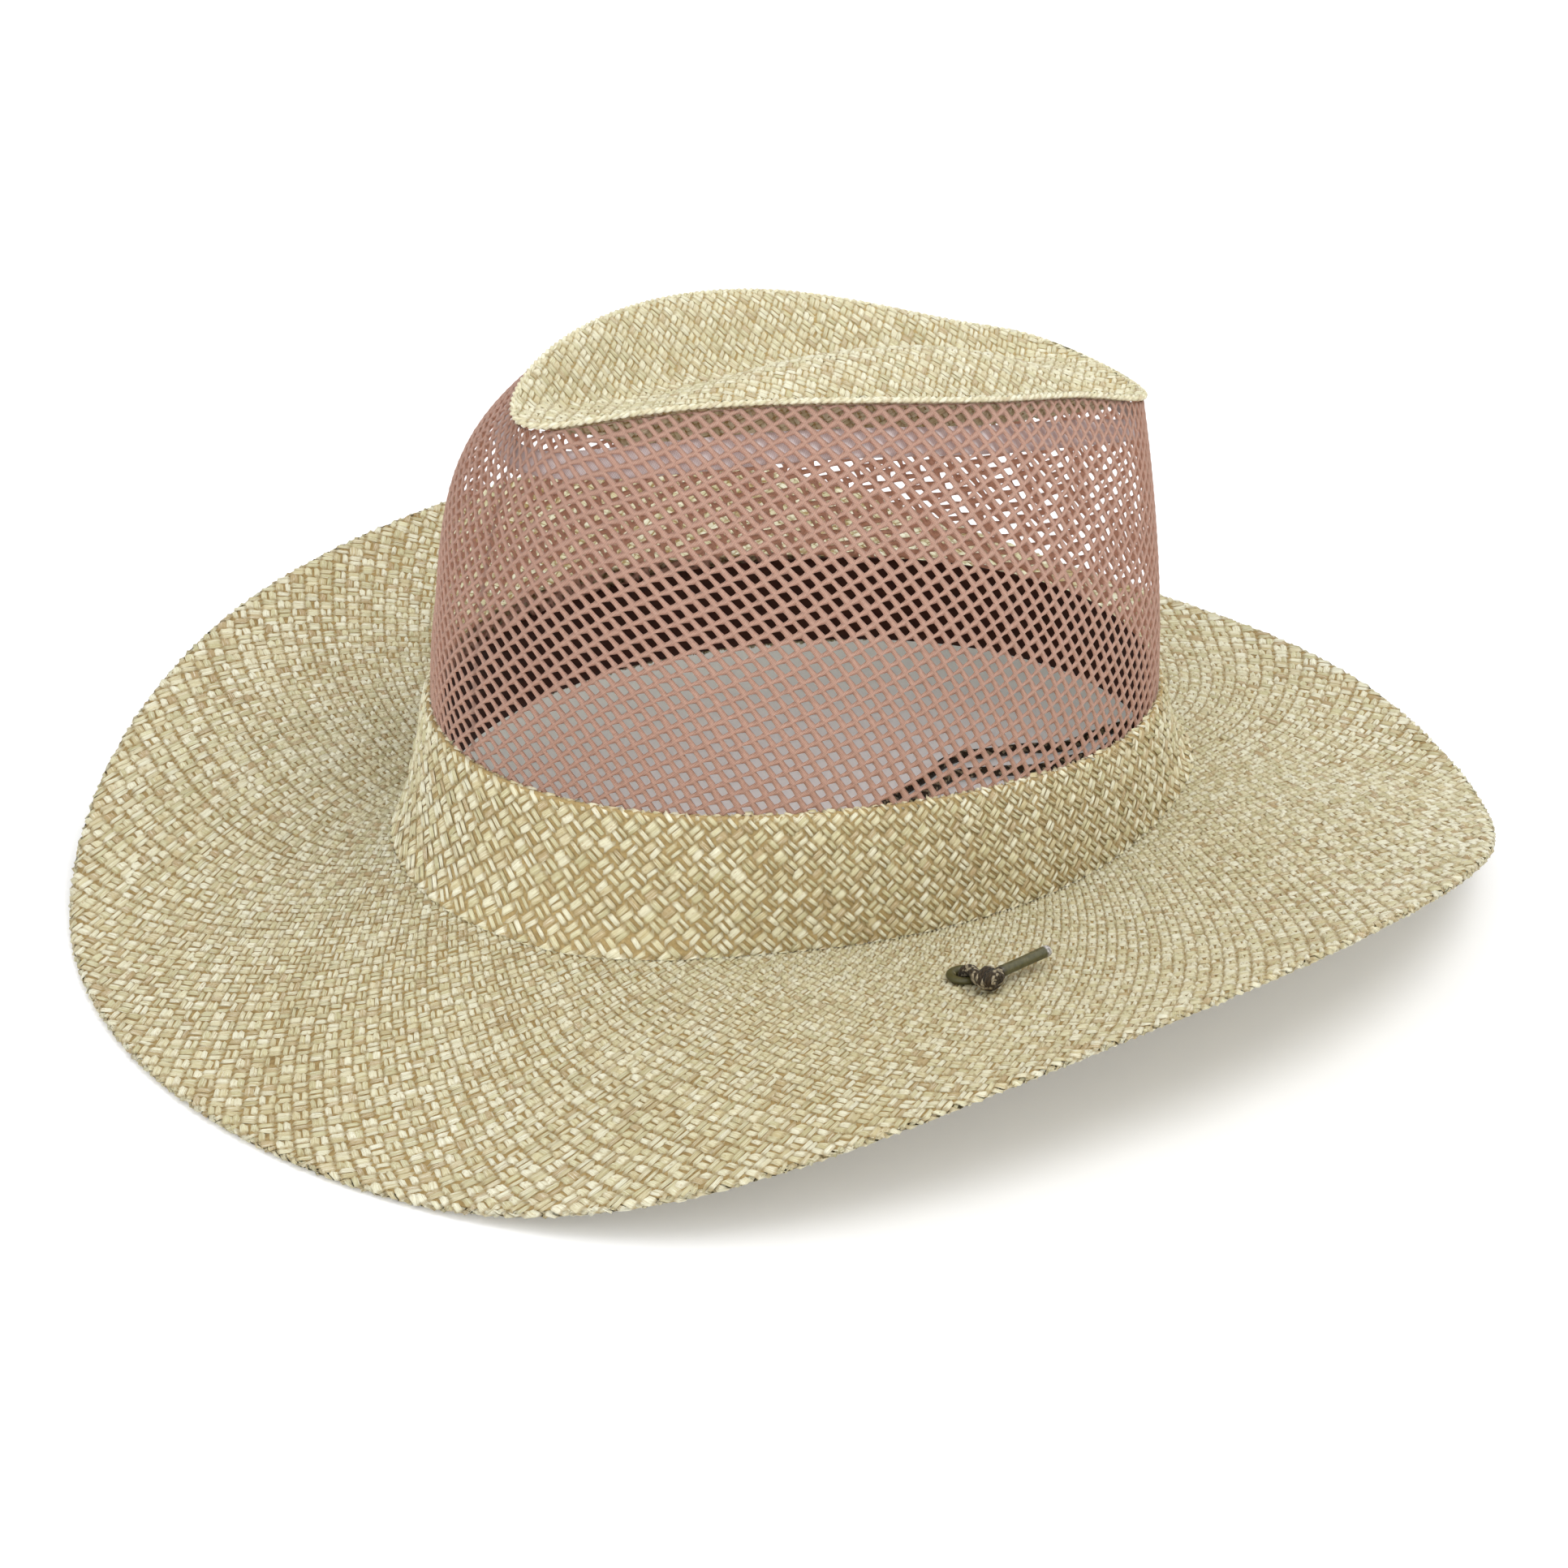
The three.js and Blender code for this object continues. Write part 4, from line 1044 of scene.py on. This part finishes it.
def tip_strands(name, fam, mat, L, amp, edge, seed):
    g = np.random.default_rng(seed)
    surf = Flat(L)
    lim = int(math.ceil(150 / L)) + 2
    base = np.arange(-lim, lim)
    fixed = (base[:, None] + np.array([.25, .75])).ravel()
    n = len(fixed)
    cells = 2 * lim
    K = cells * 2
    k = np.arange(K)
    cell = -lim + (k // 2)[None, :] + np.zeros((n, 1))
    run = cell + np.where(k % 2 == 0, .22, .78)[None, :]
    odd = (cell + np.floor(fixed)[:, None]) % 2
    over = np.where(odd == (0 if fam == 'A' else 1), 1.0, -1.0)
    lift = 1 + .20 * np.repeat(g.normal(0, 1, (n, cells)), 2, axis=1)
    drift = .035 * np.repeat(g.normal(0, 1, (n, cells)), 2, axis=1) + .014 * g.normal(0, 1, (n, K))
    fat = .90 * (1 + .06 * g.normal(0, 1, n))[:, None] * (1 + .08 * np.repeat(g.normal(0, 1, (n, cells)), 2, axis=1))
    cols = np.array([-1.0, 0.0, 1.0])
    cc = (fixed[:, None] + drift)[..., None] + .25 * fat[..., None] * cols
    rr = np.broadcast_to(run[..., None], cc.shape)
    x0 = (rr + cc) / 2 * L
    y0 = ((rr - cc) if fam == 'A' else (cc - rr)) / 2 * L + TCY
    yout = (y0 < TCY - THL) | (y0 > TCY + THL)
    xa, past = surf.across(x0, y0)
    x, y, out = surf.clampxy(xa, y0)
    out = out | yout | past
    h = (over * lift)[..., None] * np.where(cols == 0, amp, edge)
    P = surf.raised(x, y, h)
    idx = np.arange(n * K * 3).reshape(n, K, 3)
    q = np.stack([idx[:, :-1, :-1], idx[:, 1:, :-1], idx[:, 1:, 1:], idx[:, :-1, 1:]], -1)
    o = np.stack([out[:, :-1, :-1], out[:, 1:, :-1], out[:, 1:, 1:], out[:, :-1, 1:]], -1).all(-1)
    faces = q[~o]
    pp = P.reshape(-1, 3)
    nn = np.cross(pp[faces[:, 1]] - pp[faces[:, 0]], pp[faces[:, 3]] - pp[faces[:, 0]])
    if np.mean(nn[:, 2] > 0) < .5:
        faces = faces[:, ::-1]
    number = np.broadcast_to(np.arange(n)[:, None, None] + 1000.0 * seed, x.shape)
    straw = np.stack([rr + np.floor(97 * g.random(n))[:, None, None], np.broadcast_to(cols, x.shape), number], -1).reshape(-1, 3)
    # low feeds painted shade in the straw material: .35 on a strand's two sides, 0 along its middle
    low = np.broadcast_to(np.where(cols == 0, 0.0, .35), x.shape).reshape(-1)
    uv = np.stack([(x0 + 75) / 150, (y0 - TCY + 110) / 220], -1).reshape(-1, 2)
    used, faces = np.unique(faces, return_inverse=True)
    return make(name, put(pp[used]), faces.reshape(-1, 4), mat, uv=uv[used], attrs={"straw": straw[used], "low": low[used]})


TIP_L = 4.06
tip_a = tip_strands("tip_weave_a", 'A', straw_tip, TIP_L, .58, .12, 7)
tip_b = tip_strands("tip_weave_b", 'B', straw_tip, TIP_L, .58, .12, 8)
# a brown sheet under the tip's weave, painted shade for its gaps
qs = np.concatenate([[.04], np.linspace(.08, .995, 40)])
aa = np.linspace(0, PI2, 200, endpoint=False)
A, Q = np.meshgrid(aa, qs, indexing='ij')
E = tip_edge(A)
tx, ty = E[..., 0] * Q, mix(TCY, E[..., 1], Q)
tp = np.stack([tx, ty, tip_z(tx, ty)], -1).reshape(-1, 3)
tf = quads(200, len(qs), wrap_rows=True)
tp = np.concatenate([tp, [[0, TCY, float(tip_z(np.float64(0), np.float64(TCY)))]]])
i = np.arange(200)
tc = np.stack([np.full(200, len(tp) - 1), i * len(qs), ((i + 1) % 200) * len(qs)], -1)
tip_gap_shade = make("tip_gap_shade", put(tp), [tf, tc], tip_gap_shade_mat, uv=np.stack([(tp[:, 0] + 60) / 120, (tp[:, 1] - TCY + 110) / 220], -1))
for ob in (tip_a, tip_b, tip_gap_shade):
    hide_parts("crown_tip")


# the tip's turned edge: a line of strands laid round the edge
def lay_line(a):
    e = tip_edge(a)
    return e + np.array([0, 0, -ST / 2 - .15])


def edge_roll(name, f, count, radius, mat, node, seed, lift=0.0, twist=26):
    """Two strands twisted round each other along an edge, f(a) its line."""
    g = np.random.default_rng(seed)
    a = np.linspace(0, PI2, count, endpoint=False)
    c = f(a)
    t = unit(np.roll(c, -1, 0) - np.roll(c, 1, 0))
    up = np.array([0, 0, 1.0])
    o = unit(np.cross(t, up))
    w = unit(np.cross(o, t))
    vs, fs, st, uvs, lows = [], [], [], [], []
    per = along(np.concatenate([c, c[:1]]))[:-1]
    sides = 7
    for k in range(2):
        ph = per / twist * PI2 * 6 + math.pi * k
        cen = c + o * (np.cos(ph) * radius * .42)[:, None] + w * (np.sin(ph) * radius * .42 + lift)[:, None]
        b = PI2 * np.arange(sides) / sides
        r = radius * .62 * (1 + .05 * np.sin(per * 1.7 + k))
        ring = cen[:, None, :] + r[:, None, None] * (np.cos(b)[None, :, None] * o[:, None, :] + np.sin(b)[None, :, None] * w[:, None, :])
        vs.append(ring.reshape(-1, 3))
        fs.append(quads(count, sides, wrap_rows=True, wrap_cols=True, base=k * count * sides))
        st.append(np.stack([np.repeat(per / 2.9, sides), np.tile(np.abs(b / math.pi - 1) * .8, count), np.full(count * sides, 91.0 + k + seed * 10)], -1))
        uvs.append(np.stack([np.repeat(a / PI2, sides), np.tile((b / PI2 + k) / 2, count)], -1))
        lows.append(np.zeros(count * sides))
    ob = make(name, put(np.concatenate(vs)), np.concatenate(fs), mat, uv=np.concatenate(uvs),
              attrs={"straw": np.concatenate(st), "low": np.concatenate(lows)})
    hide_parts(node)
    return ob


straw_edge = straw_look("straw_edge", 1.04, .05, .10, .3, .35)
tip_roll = edge_roll("tip_edge_roll", lay_line, 620, .85, straw_edge, "crown_tip", 11)


# ---------------------------------------------------------------- knitted net of the crown wall
def net():
    M = 100
    fine = 1440
    ag = np.linspace(0, PI2, fine + 1)
    wa = wrap(ag)
    turn = math.radians(22) * smooth((np.abs(np.sin(wa / 2)) - .02) / .34) * np.where(np.abs(wa) > math.radians(140), smooth((math.pi - np.abs(wa)) / math.radians(40)), 1) * np.sign(np.where(np.abs(wa) > math.pi - 1e-9, 0, wa))
    # u counts repeats round the wall, by its length at half height
    P = wall(ag, np.full_like(ag, .45))
    arc = along(P)
    total = arc[-1]
    cosi = np.concatenate([[0], np.cumsum((np.cos(turn[1:]) + np.cos(turn[:-1])) / 2 * np.diff(arc))])
    sini = np.concatenate([[0], np.cumsum((np.sin(turn[1:]) + np.sin(turn[:-1])) / 2 * np.diff(arc))])
    Lx = cosi[-1] / M                      # mm of one repeat
    # height of the wall in mm along each meridian
    ns = 120
    ts = np.linspace(-.06, 1.0, ns + 1)
    Ag, Tg = np.meshgrid(ag, ts, indexing='ij')
    W = wall(Ag, Tg)
    H = np.concatenate([np.zeros((fine + 1, 1)), np.cumsum(np.linalg.norm(np.diff(W, axis=1), axis=-1), axis=1)], axis=1)
    h0 = np.stack([np.interp(0.0, ts, H[i]) for i in range(fine + 1)])
    H = H - h0[:, None]
    mid = .5 * H[:, -1].mean()
    lo, hi = H[:, 0], H[:, -1]
    q = np.linspace(0, 1, ns + 1)
    T = np.stack([np.interp(lo[i] + q * (hi[i] - lo[i]), H[i], ts) for i in range(fine + 1)])

    def locate(U, V):
        """Lattice place in repeats to (a, t, overflow)."""
        x = U * Lx % total
        lap = np.floor(U / M)
        Um = (U - lap * M) * Lx
        y = np.zeros_like(Um)
        x = np.interp(Um, cosi, arc)
        for _ in range(40):
            th = np.interp(x % total, arc, turn)
            y = (V * Lx - np.interp(x % total, arc, sini)) / np.cos(th)
            want = Um + np.sin(th) * y
            wl = np.floor(want / cosi[-1])
            x = .5 * x + .5 * (np.interp(want - wl * cosi[-1], cosi, arc) + wl * total)
        h = y + mid
        xa = x % total
        aa = np.interp(xa, arc, ag)
        l, t = np.interp(aa, ag, lo), np.interp(aa, ag, hi)
        qq = (h - l) / (t - l)
        over = np.where(qq < 0, -1, np.where(qq > 1, 1, 0))
        qq = np.clip(qq, 0, 1)
        i, j = aa / PI2 * fine, qq * ns
        i0, j0 = np.minimum(i.astype(int), fine - 1), np.minimum(j.astype(int), ns - 1)
        fi, fj = i - i0, j - j0
        tt = (T[i0, j0] * (1 - fi) + T[i0 + 1, j0] * fi) * (1 - fj) + (T[i0, j0 + 1] * (1 - fi) + T[i0 + 1, j0 + 1] * fi) * fj
        return aa, tt, over, h

    vr = int(math.ceil((mid + 75) / Lx)) + 2
    # cells (i, j): c1 = i + .5, c2 = j + .5, and U = (c1 + c2) / 2, V = (c1 - c2) / 2
    cells = []
    for d in range(-2 * vr, 2 * vr + 1):       # d = i - j
        for m_ in range(M):
            sm = 2 * m_ + (d % 2)               # i + j
            cells.append(((sm + d) // 2, (sm - d) // 2))
    cells = np.array(cells)
    ci, cj = cells[:, 0].astype(float), cells[:, 1].astype(float)
    a0, t0, o0, _ = locate((ci + cj + 1) / 2, (ci - cj) / 2)
    # outer frame of a cell, then the hole, a leaning rhombus
    out = np.array([(0, 0), (.5, 0), (1, 0), (1, .5), (1, 1), (.5, 1), (0, 1), (0, .5)])
    hole = .5 + np.array([(-.273, -.39), (-.01, -.33), (.258, -.252), (.30, 0), (.31, .24), (.10, .28), (-.13, .28), (-.215, -.05)])
    K1 = ci[:, None] + out[None, :, 0]
    K2 = cj[:, None] + out[None, :, 1]
    # shared outer vertices: the same place gets the same number, also a full turn on
    s_ = K1 + K2
    lap = np.floor(s_ / (2 * M) + 1e-9)
    k1, k2 = K1 - lap * M, K2 - lap * M
    key = np.stack([np.round(k1 * 2), np.round(k2 * 2)], -1).astype(np.int64).reshape(-1, 2)
    uniq, inv = np.unique(key, axis=0, return_inverse=True)
    inv = inv.reshape(-1, 8)
    oc1, oc2 = uniq[:, 0] / 2, uniq[:, 1] / 2
    jit = np.random.default_rng(21)
    oa, ot, oo, oh = locate((oc1 + oc2) / 2, (oc1 - oc2) / 2)
    H1 = ci[:, None] + hole[None, :, 0] + .018 * jit.normal(0, 1, (len(ci), 1))
    H2 = cj[:, None] + hole[None, :, 1] + .018 * jit.normal(0, 1, (len(ci), 1))
    size = 1.10 + .06 * jit.normal(0, 1, (len(ci), 1))
    H1 = (ci[:, None] + .5) + (H1 - ci[:, None] - .5) * size
    H2 = (cj[:, None] + .5) + (H2 - cj[:, None] - .5) * size
    ha, ht, ho, hh = locate((H1 + H2) / 2, (H1 - H2) / 2)

    def surface(a, t, h):
        inner = MT / 2
        p = wall(a, t)
        n = normals(wall, a, np.minimum(t, .999), 1)
        return p + n * (h - inner)[..., None]

    crest = .36 + .12 * (np.abs(oc1 - np.round(oc1)) + np.abs(oc2 - np.round(oc2)) < .1)
    top, bot = surface(oa, ot, crest), surface(oa, ot, -crest)
    ring = surface(ha, ht, np.zeros_like(ha)).reshape(-1, 3)
    no, nh = len(uniq), len(ci) * 8
    verts = np.concatenate([top, bot, ring])
    hidx = (2 * no + np.arange(nh)).reshape(-1, 8)
    gone = (oo[inv] != 0).all(1) & (ho != 0).all(1)
    j = np.arange(8)
    jn = (j + 1) % 8
    ft = np.stack([inv[:, j], inv[:, jn], hidx[:, jn], hidx[:, j]], -1)[~gone].reshape(-1, 4)
    # drop what has been squeezed flat at the net's two ends, from both its sides
    P0, P1, P2, P3 = (verts[ft[:, k]] for k in range(4))
    ft = ft[np.linalg.norm(np.cross(P2 - P0, P3 - P1), axis=-1) > 1e-2]
    low = lambda q: np.where(q < no, q + no, q)
    fb = low(ft)[:, ::-1]
    # and close the cut edges between the two sides
    head, tail = ft.ravel(), np.roll(ft, -1, axis=1).ravel()
    big = len(verts)
    alone = ~np.isin(head * big + tail, tail * big + head)
    head, tail = head[alone], tail[alone]
    oo_, oh_, ho_ = (head < no) & (tail < no), (head < no) & (tail >= no), (head >= no) & (tail < no)
    rim4 = np.stack([tail[oo_], head[oo_], low(head[oo_]), low(tail[oo_])], -1)
    rim3 = np.concatenate([np.stack([tail[oh_], head[oh_], low(head[oh_])], -1), np.stack([tail[ho_], head[ho_], low(tail[ho_])], -1)])
    P0, P1, P3 = (verts[ft[:, k]] for k in (0, 1, 3))
    outw = normals(wall, np.arctan2(P0[:, 0], -P0[:, 1]), np.full(len(P0), .5), 1)
    flip = np.mean(np.sum(np.cross(P1 - P0, P3 - P0) * outw, -1) > 0) < .5
    faces = [np.concatenate([ft, fb, rim4]), rim3]
    if flip:
        faces = [f[:, ::-1] for f in faces]
    shift = np.zeros((sum(len(f) for f in faces), 2))
    shift[len(ft):2 * len(ft), 1] = .5
    allh = np.concatenate([oh, oh, hh.ravel()])
    alla = np.concatenate([oa, oa, ha.ravel()])
    allx = np.interp(alla, ag, arc)
    netat = np.stack([allx, allh, np.concatenate([np.zeros(no), np.ones(no), np.full(nh, .5)])], -1)
    uv = np.stack([wrap(alla) / PI2 * .98 + .5, (allh + 8) / 145 * .49], -1)
    used, flat = np.unique(np.concatenate([f.ravel() for f in faces]), return_inverse=True)
    flat = flat.ravel()
    faces = [flat[:faces[0].size].reshape(-1, 4), flat[faces[0].size:].reshape(-1, 3)]
    return verts[used], faces, netat[used], uv[used], shift


nv, nf, na_, nuv, nshift = net()
net_mat = net_look()
crown_net = make("crown_net_knit", put(nv), nf, net_mat, uv=nuv, attrs={"net": na_}, shift=nshift)
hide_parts("crown_mesh")


# ---------------------------------------------------------------- tape along the seam, inside the net
def strip(name, face, na, nt, thick, mat, waves, node, height):
    """A thin closed band of cloth: face(a, t, inset) its outer face in mm."""
    a = np.linspace(0, PI2, na, endpoint=False)
    t = np.linspace(0, 1, nt)
    A, T = np.meshgrid(a, t, indexing='ij')
    w = waves(A, T)
    o = face(A, T, w)
    i = face(A, T, w + thick)
    P = np.concatenate([o, i[:, ::-1]], axis=1)
    n2 = 2 * nt
    f = quads(na, n2, wrap_rows=True, wrap_cols=True)
    per = along(np.concatenate([o[:, 0], o[:1, 0]]))[:-1]
    X = np.repeat(per[:, None], n2, axis=1)
    Y = np.concatenate([T * height, (T * height)[:, ::-1]], axis=1)
    uv = np.stack([wrap(np.repeat(A[:, :1], n2, axis=1)) / PI2 * .98 + .5, np.broadcast_to((np.arange(n2) + .5) / (n2 + 1), (na, n2))], -1)
    pp = P.reshape(-1, 3)
    nn = np.cross(pp[f[:, 1]] - pp[f[:, 0]], pp[f[:, 3]] - pp[f[:, 0]])
    k = np.arange(len(f)) % n2 == 0
    ax = pp[f[:, 0]] * np.array([1, 1, 0])
    if np.mean(np.sum(nn[k] * ax[k], -1) > 0) < .5:
        f = f[:, ::-1]
    ob = make(name, put(pp), f, mat, uv=uv.reshape(-1, 2), attrs={"cloth": np.stack([X, Y, 0 * X], -1).reshape(-1, 3)})
    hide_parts(node)
    return ob, o


def tape_face(a, t, inset):
    tt = mix(.89, .955, t)
    p = wall(a, tt)
    n = normals(wall, a, tt, 1)
    return p - n * (MT + 3 * GAP + inset)[..., None]


tape_mat = cloth_look("seam_tape", (184, 172, 170), (212, 202, 202), (232, 224, 224), 1.6, .25)
tape, _ = strip("seam_tape_strip", tape_face, 300, 6, .55, tape_mat, lambda A, T: .10 * np.sin(41 * A) + .06 * np.sin(97 * A + 2), "crown_tape", 6.2)


def sweat_face(a, t, inset):
    foot = ser('footHeight', a) + 1
    z = mix(foot, ser('sweatHeight', a), t)
    bt = (z - ser('footHeight', a)) / (ser('bandHeight', a) - ser('footHeight', a))
    clear = ST + GAP + MT + GAP + inset
    p = band(a, bt, clear + flare(a) * np.abs(1 - bt) ** 4)
    p[..., 2] = z
    return p


def sweat_waves(A, T):
    slow = .35 * np.sin(9 * A + 1.3) + .22 * np.sin(17 * A + .4) + .12 * np.sin(38 * A)
    return np.maximum(0, .25 + slow * (.35 + .65 * np.sin(np.pi * T)) * .6)


sweat_mat = cloth_look("sweatband", (36, 14, 7), (58, 27, 15), (84, 50, 32), 1.9, .04, .85)
sweat, so = strip("sweatband_strip", sweat_face, 320, 12, 1.1, sweat_mat, sweat_waves, "sweatband", 29.0)

net_round = float(along(wall(np.linspace(0, PI2, 721), np.full(721, .12)))[-1])
net_high = float(np.mean(np.linalg.norm(np.diff(wall(*np.meshgrid(np.linspace(0, PI2, 181), np.linspace(0, 1, 41), indexing='ij')), axis=1), axis=-1).sum(1)))
wg = wall(*np.meshgrid(np.linspace(0, PI2, 361), np.linspace(0, 1, 61), indexing='ij'))

# ---------------------------------------------------------------- floor and light
L = Look("floor")
fn = L.noise(L.place(), 40.0, 2.0, .5)
L.base(Base_Color=L.ramp(fn, [(.3, (.86, .86, .865)), (.7, (.88, .88, .885))]), Roughness=.7)
L.bsdf.inputs["Specular IOR Level"].default_value = .2
# painted light: the floor glows faintly, which lightens the shadows under the hat and lights the hat from below
L.bsdf.inputs["Emission Color"].default_value = (.96, .98, 1.0, 1)
L.bsdf.inputs["Emission Strength"].default_value = .17
me = bpy.data.meshes.new("floor")
me.from_pydata([(-6, -6, -.0004), (6, -6, -.0004), (6, 6, -.0004), (-6, 6, -.0004)], [], [(0, 1, 2, 3)])
me.materials.append(L.mat)
floor = bpy.data.objects.new("floor", me)
bpy.context.scene.collection.objects.link(floor)

world = bpy.data.worlds.new("studio")
bpy.context.scene.world = world
world.use_nodes = True
bg = world.node_tree.nodes["Background"]
bg.inputs[0].default_value = (1.0, 1.0, 1.0, 1)
bg.inputs[1].default_value = 1.0


def area(name, loc, target, size, power, color=(1, 1, 1)):
    d = bpy.data.lights.new(name, 'AREA')
    d.shape = 'DISK'
    d.size = size
    d.energy = power
    d.color = color
    o = bpy.data.objects.new(name, d)
    bpy.context.scene.collection.objects.link(o)
    o.location = loc
    o.rotation_mode = 'QUATERNION'
    o.rotation_quaternion = (Vector(target) - Vector(loc)).to_track_quat('-Z', 'Y')
    return o


right_v, back_v = Vector((.61165, .79107, 0)), Vector((-.69247, .54101, 0)).normalized()
key = area("key", tuple(right_v * .8 - back_v * .5 + Vector((0, 0, 1.9))), (0, 0, .04), 1.1, 13)
fill = area("fill", tuple(-right_v * .9 - back_v * 1.6 + Vector((0, 0, 1.5))), (0, 0, .05), 1.5, 7)
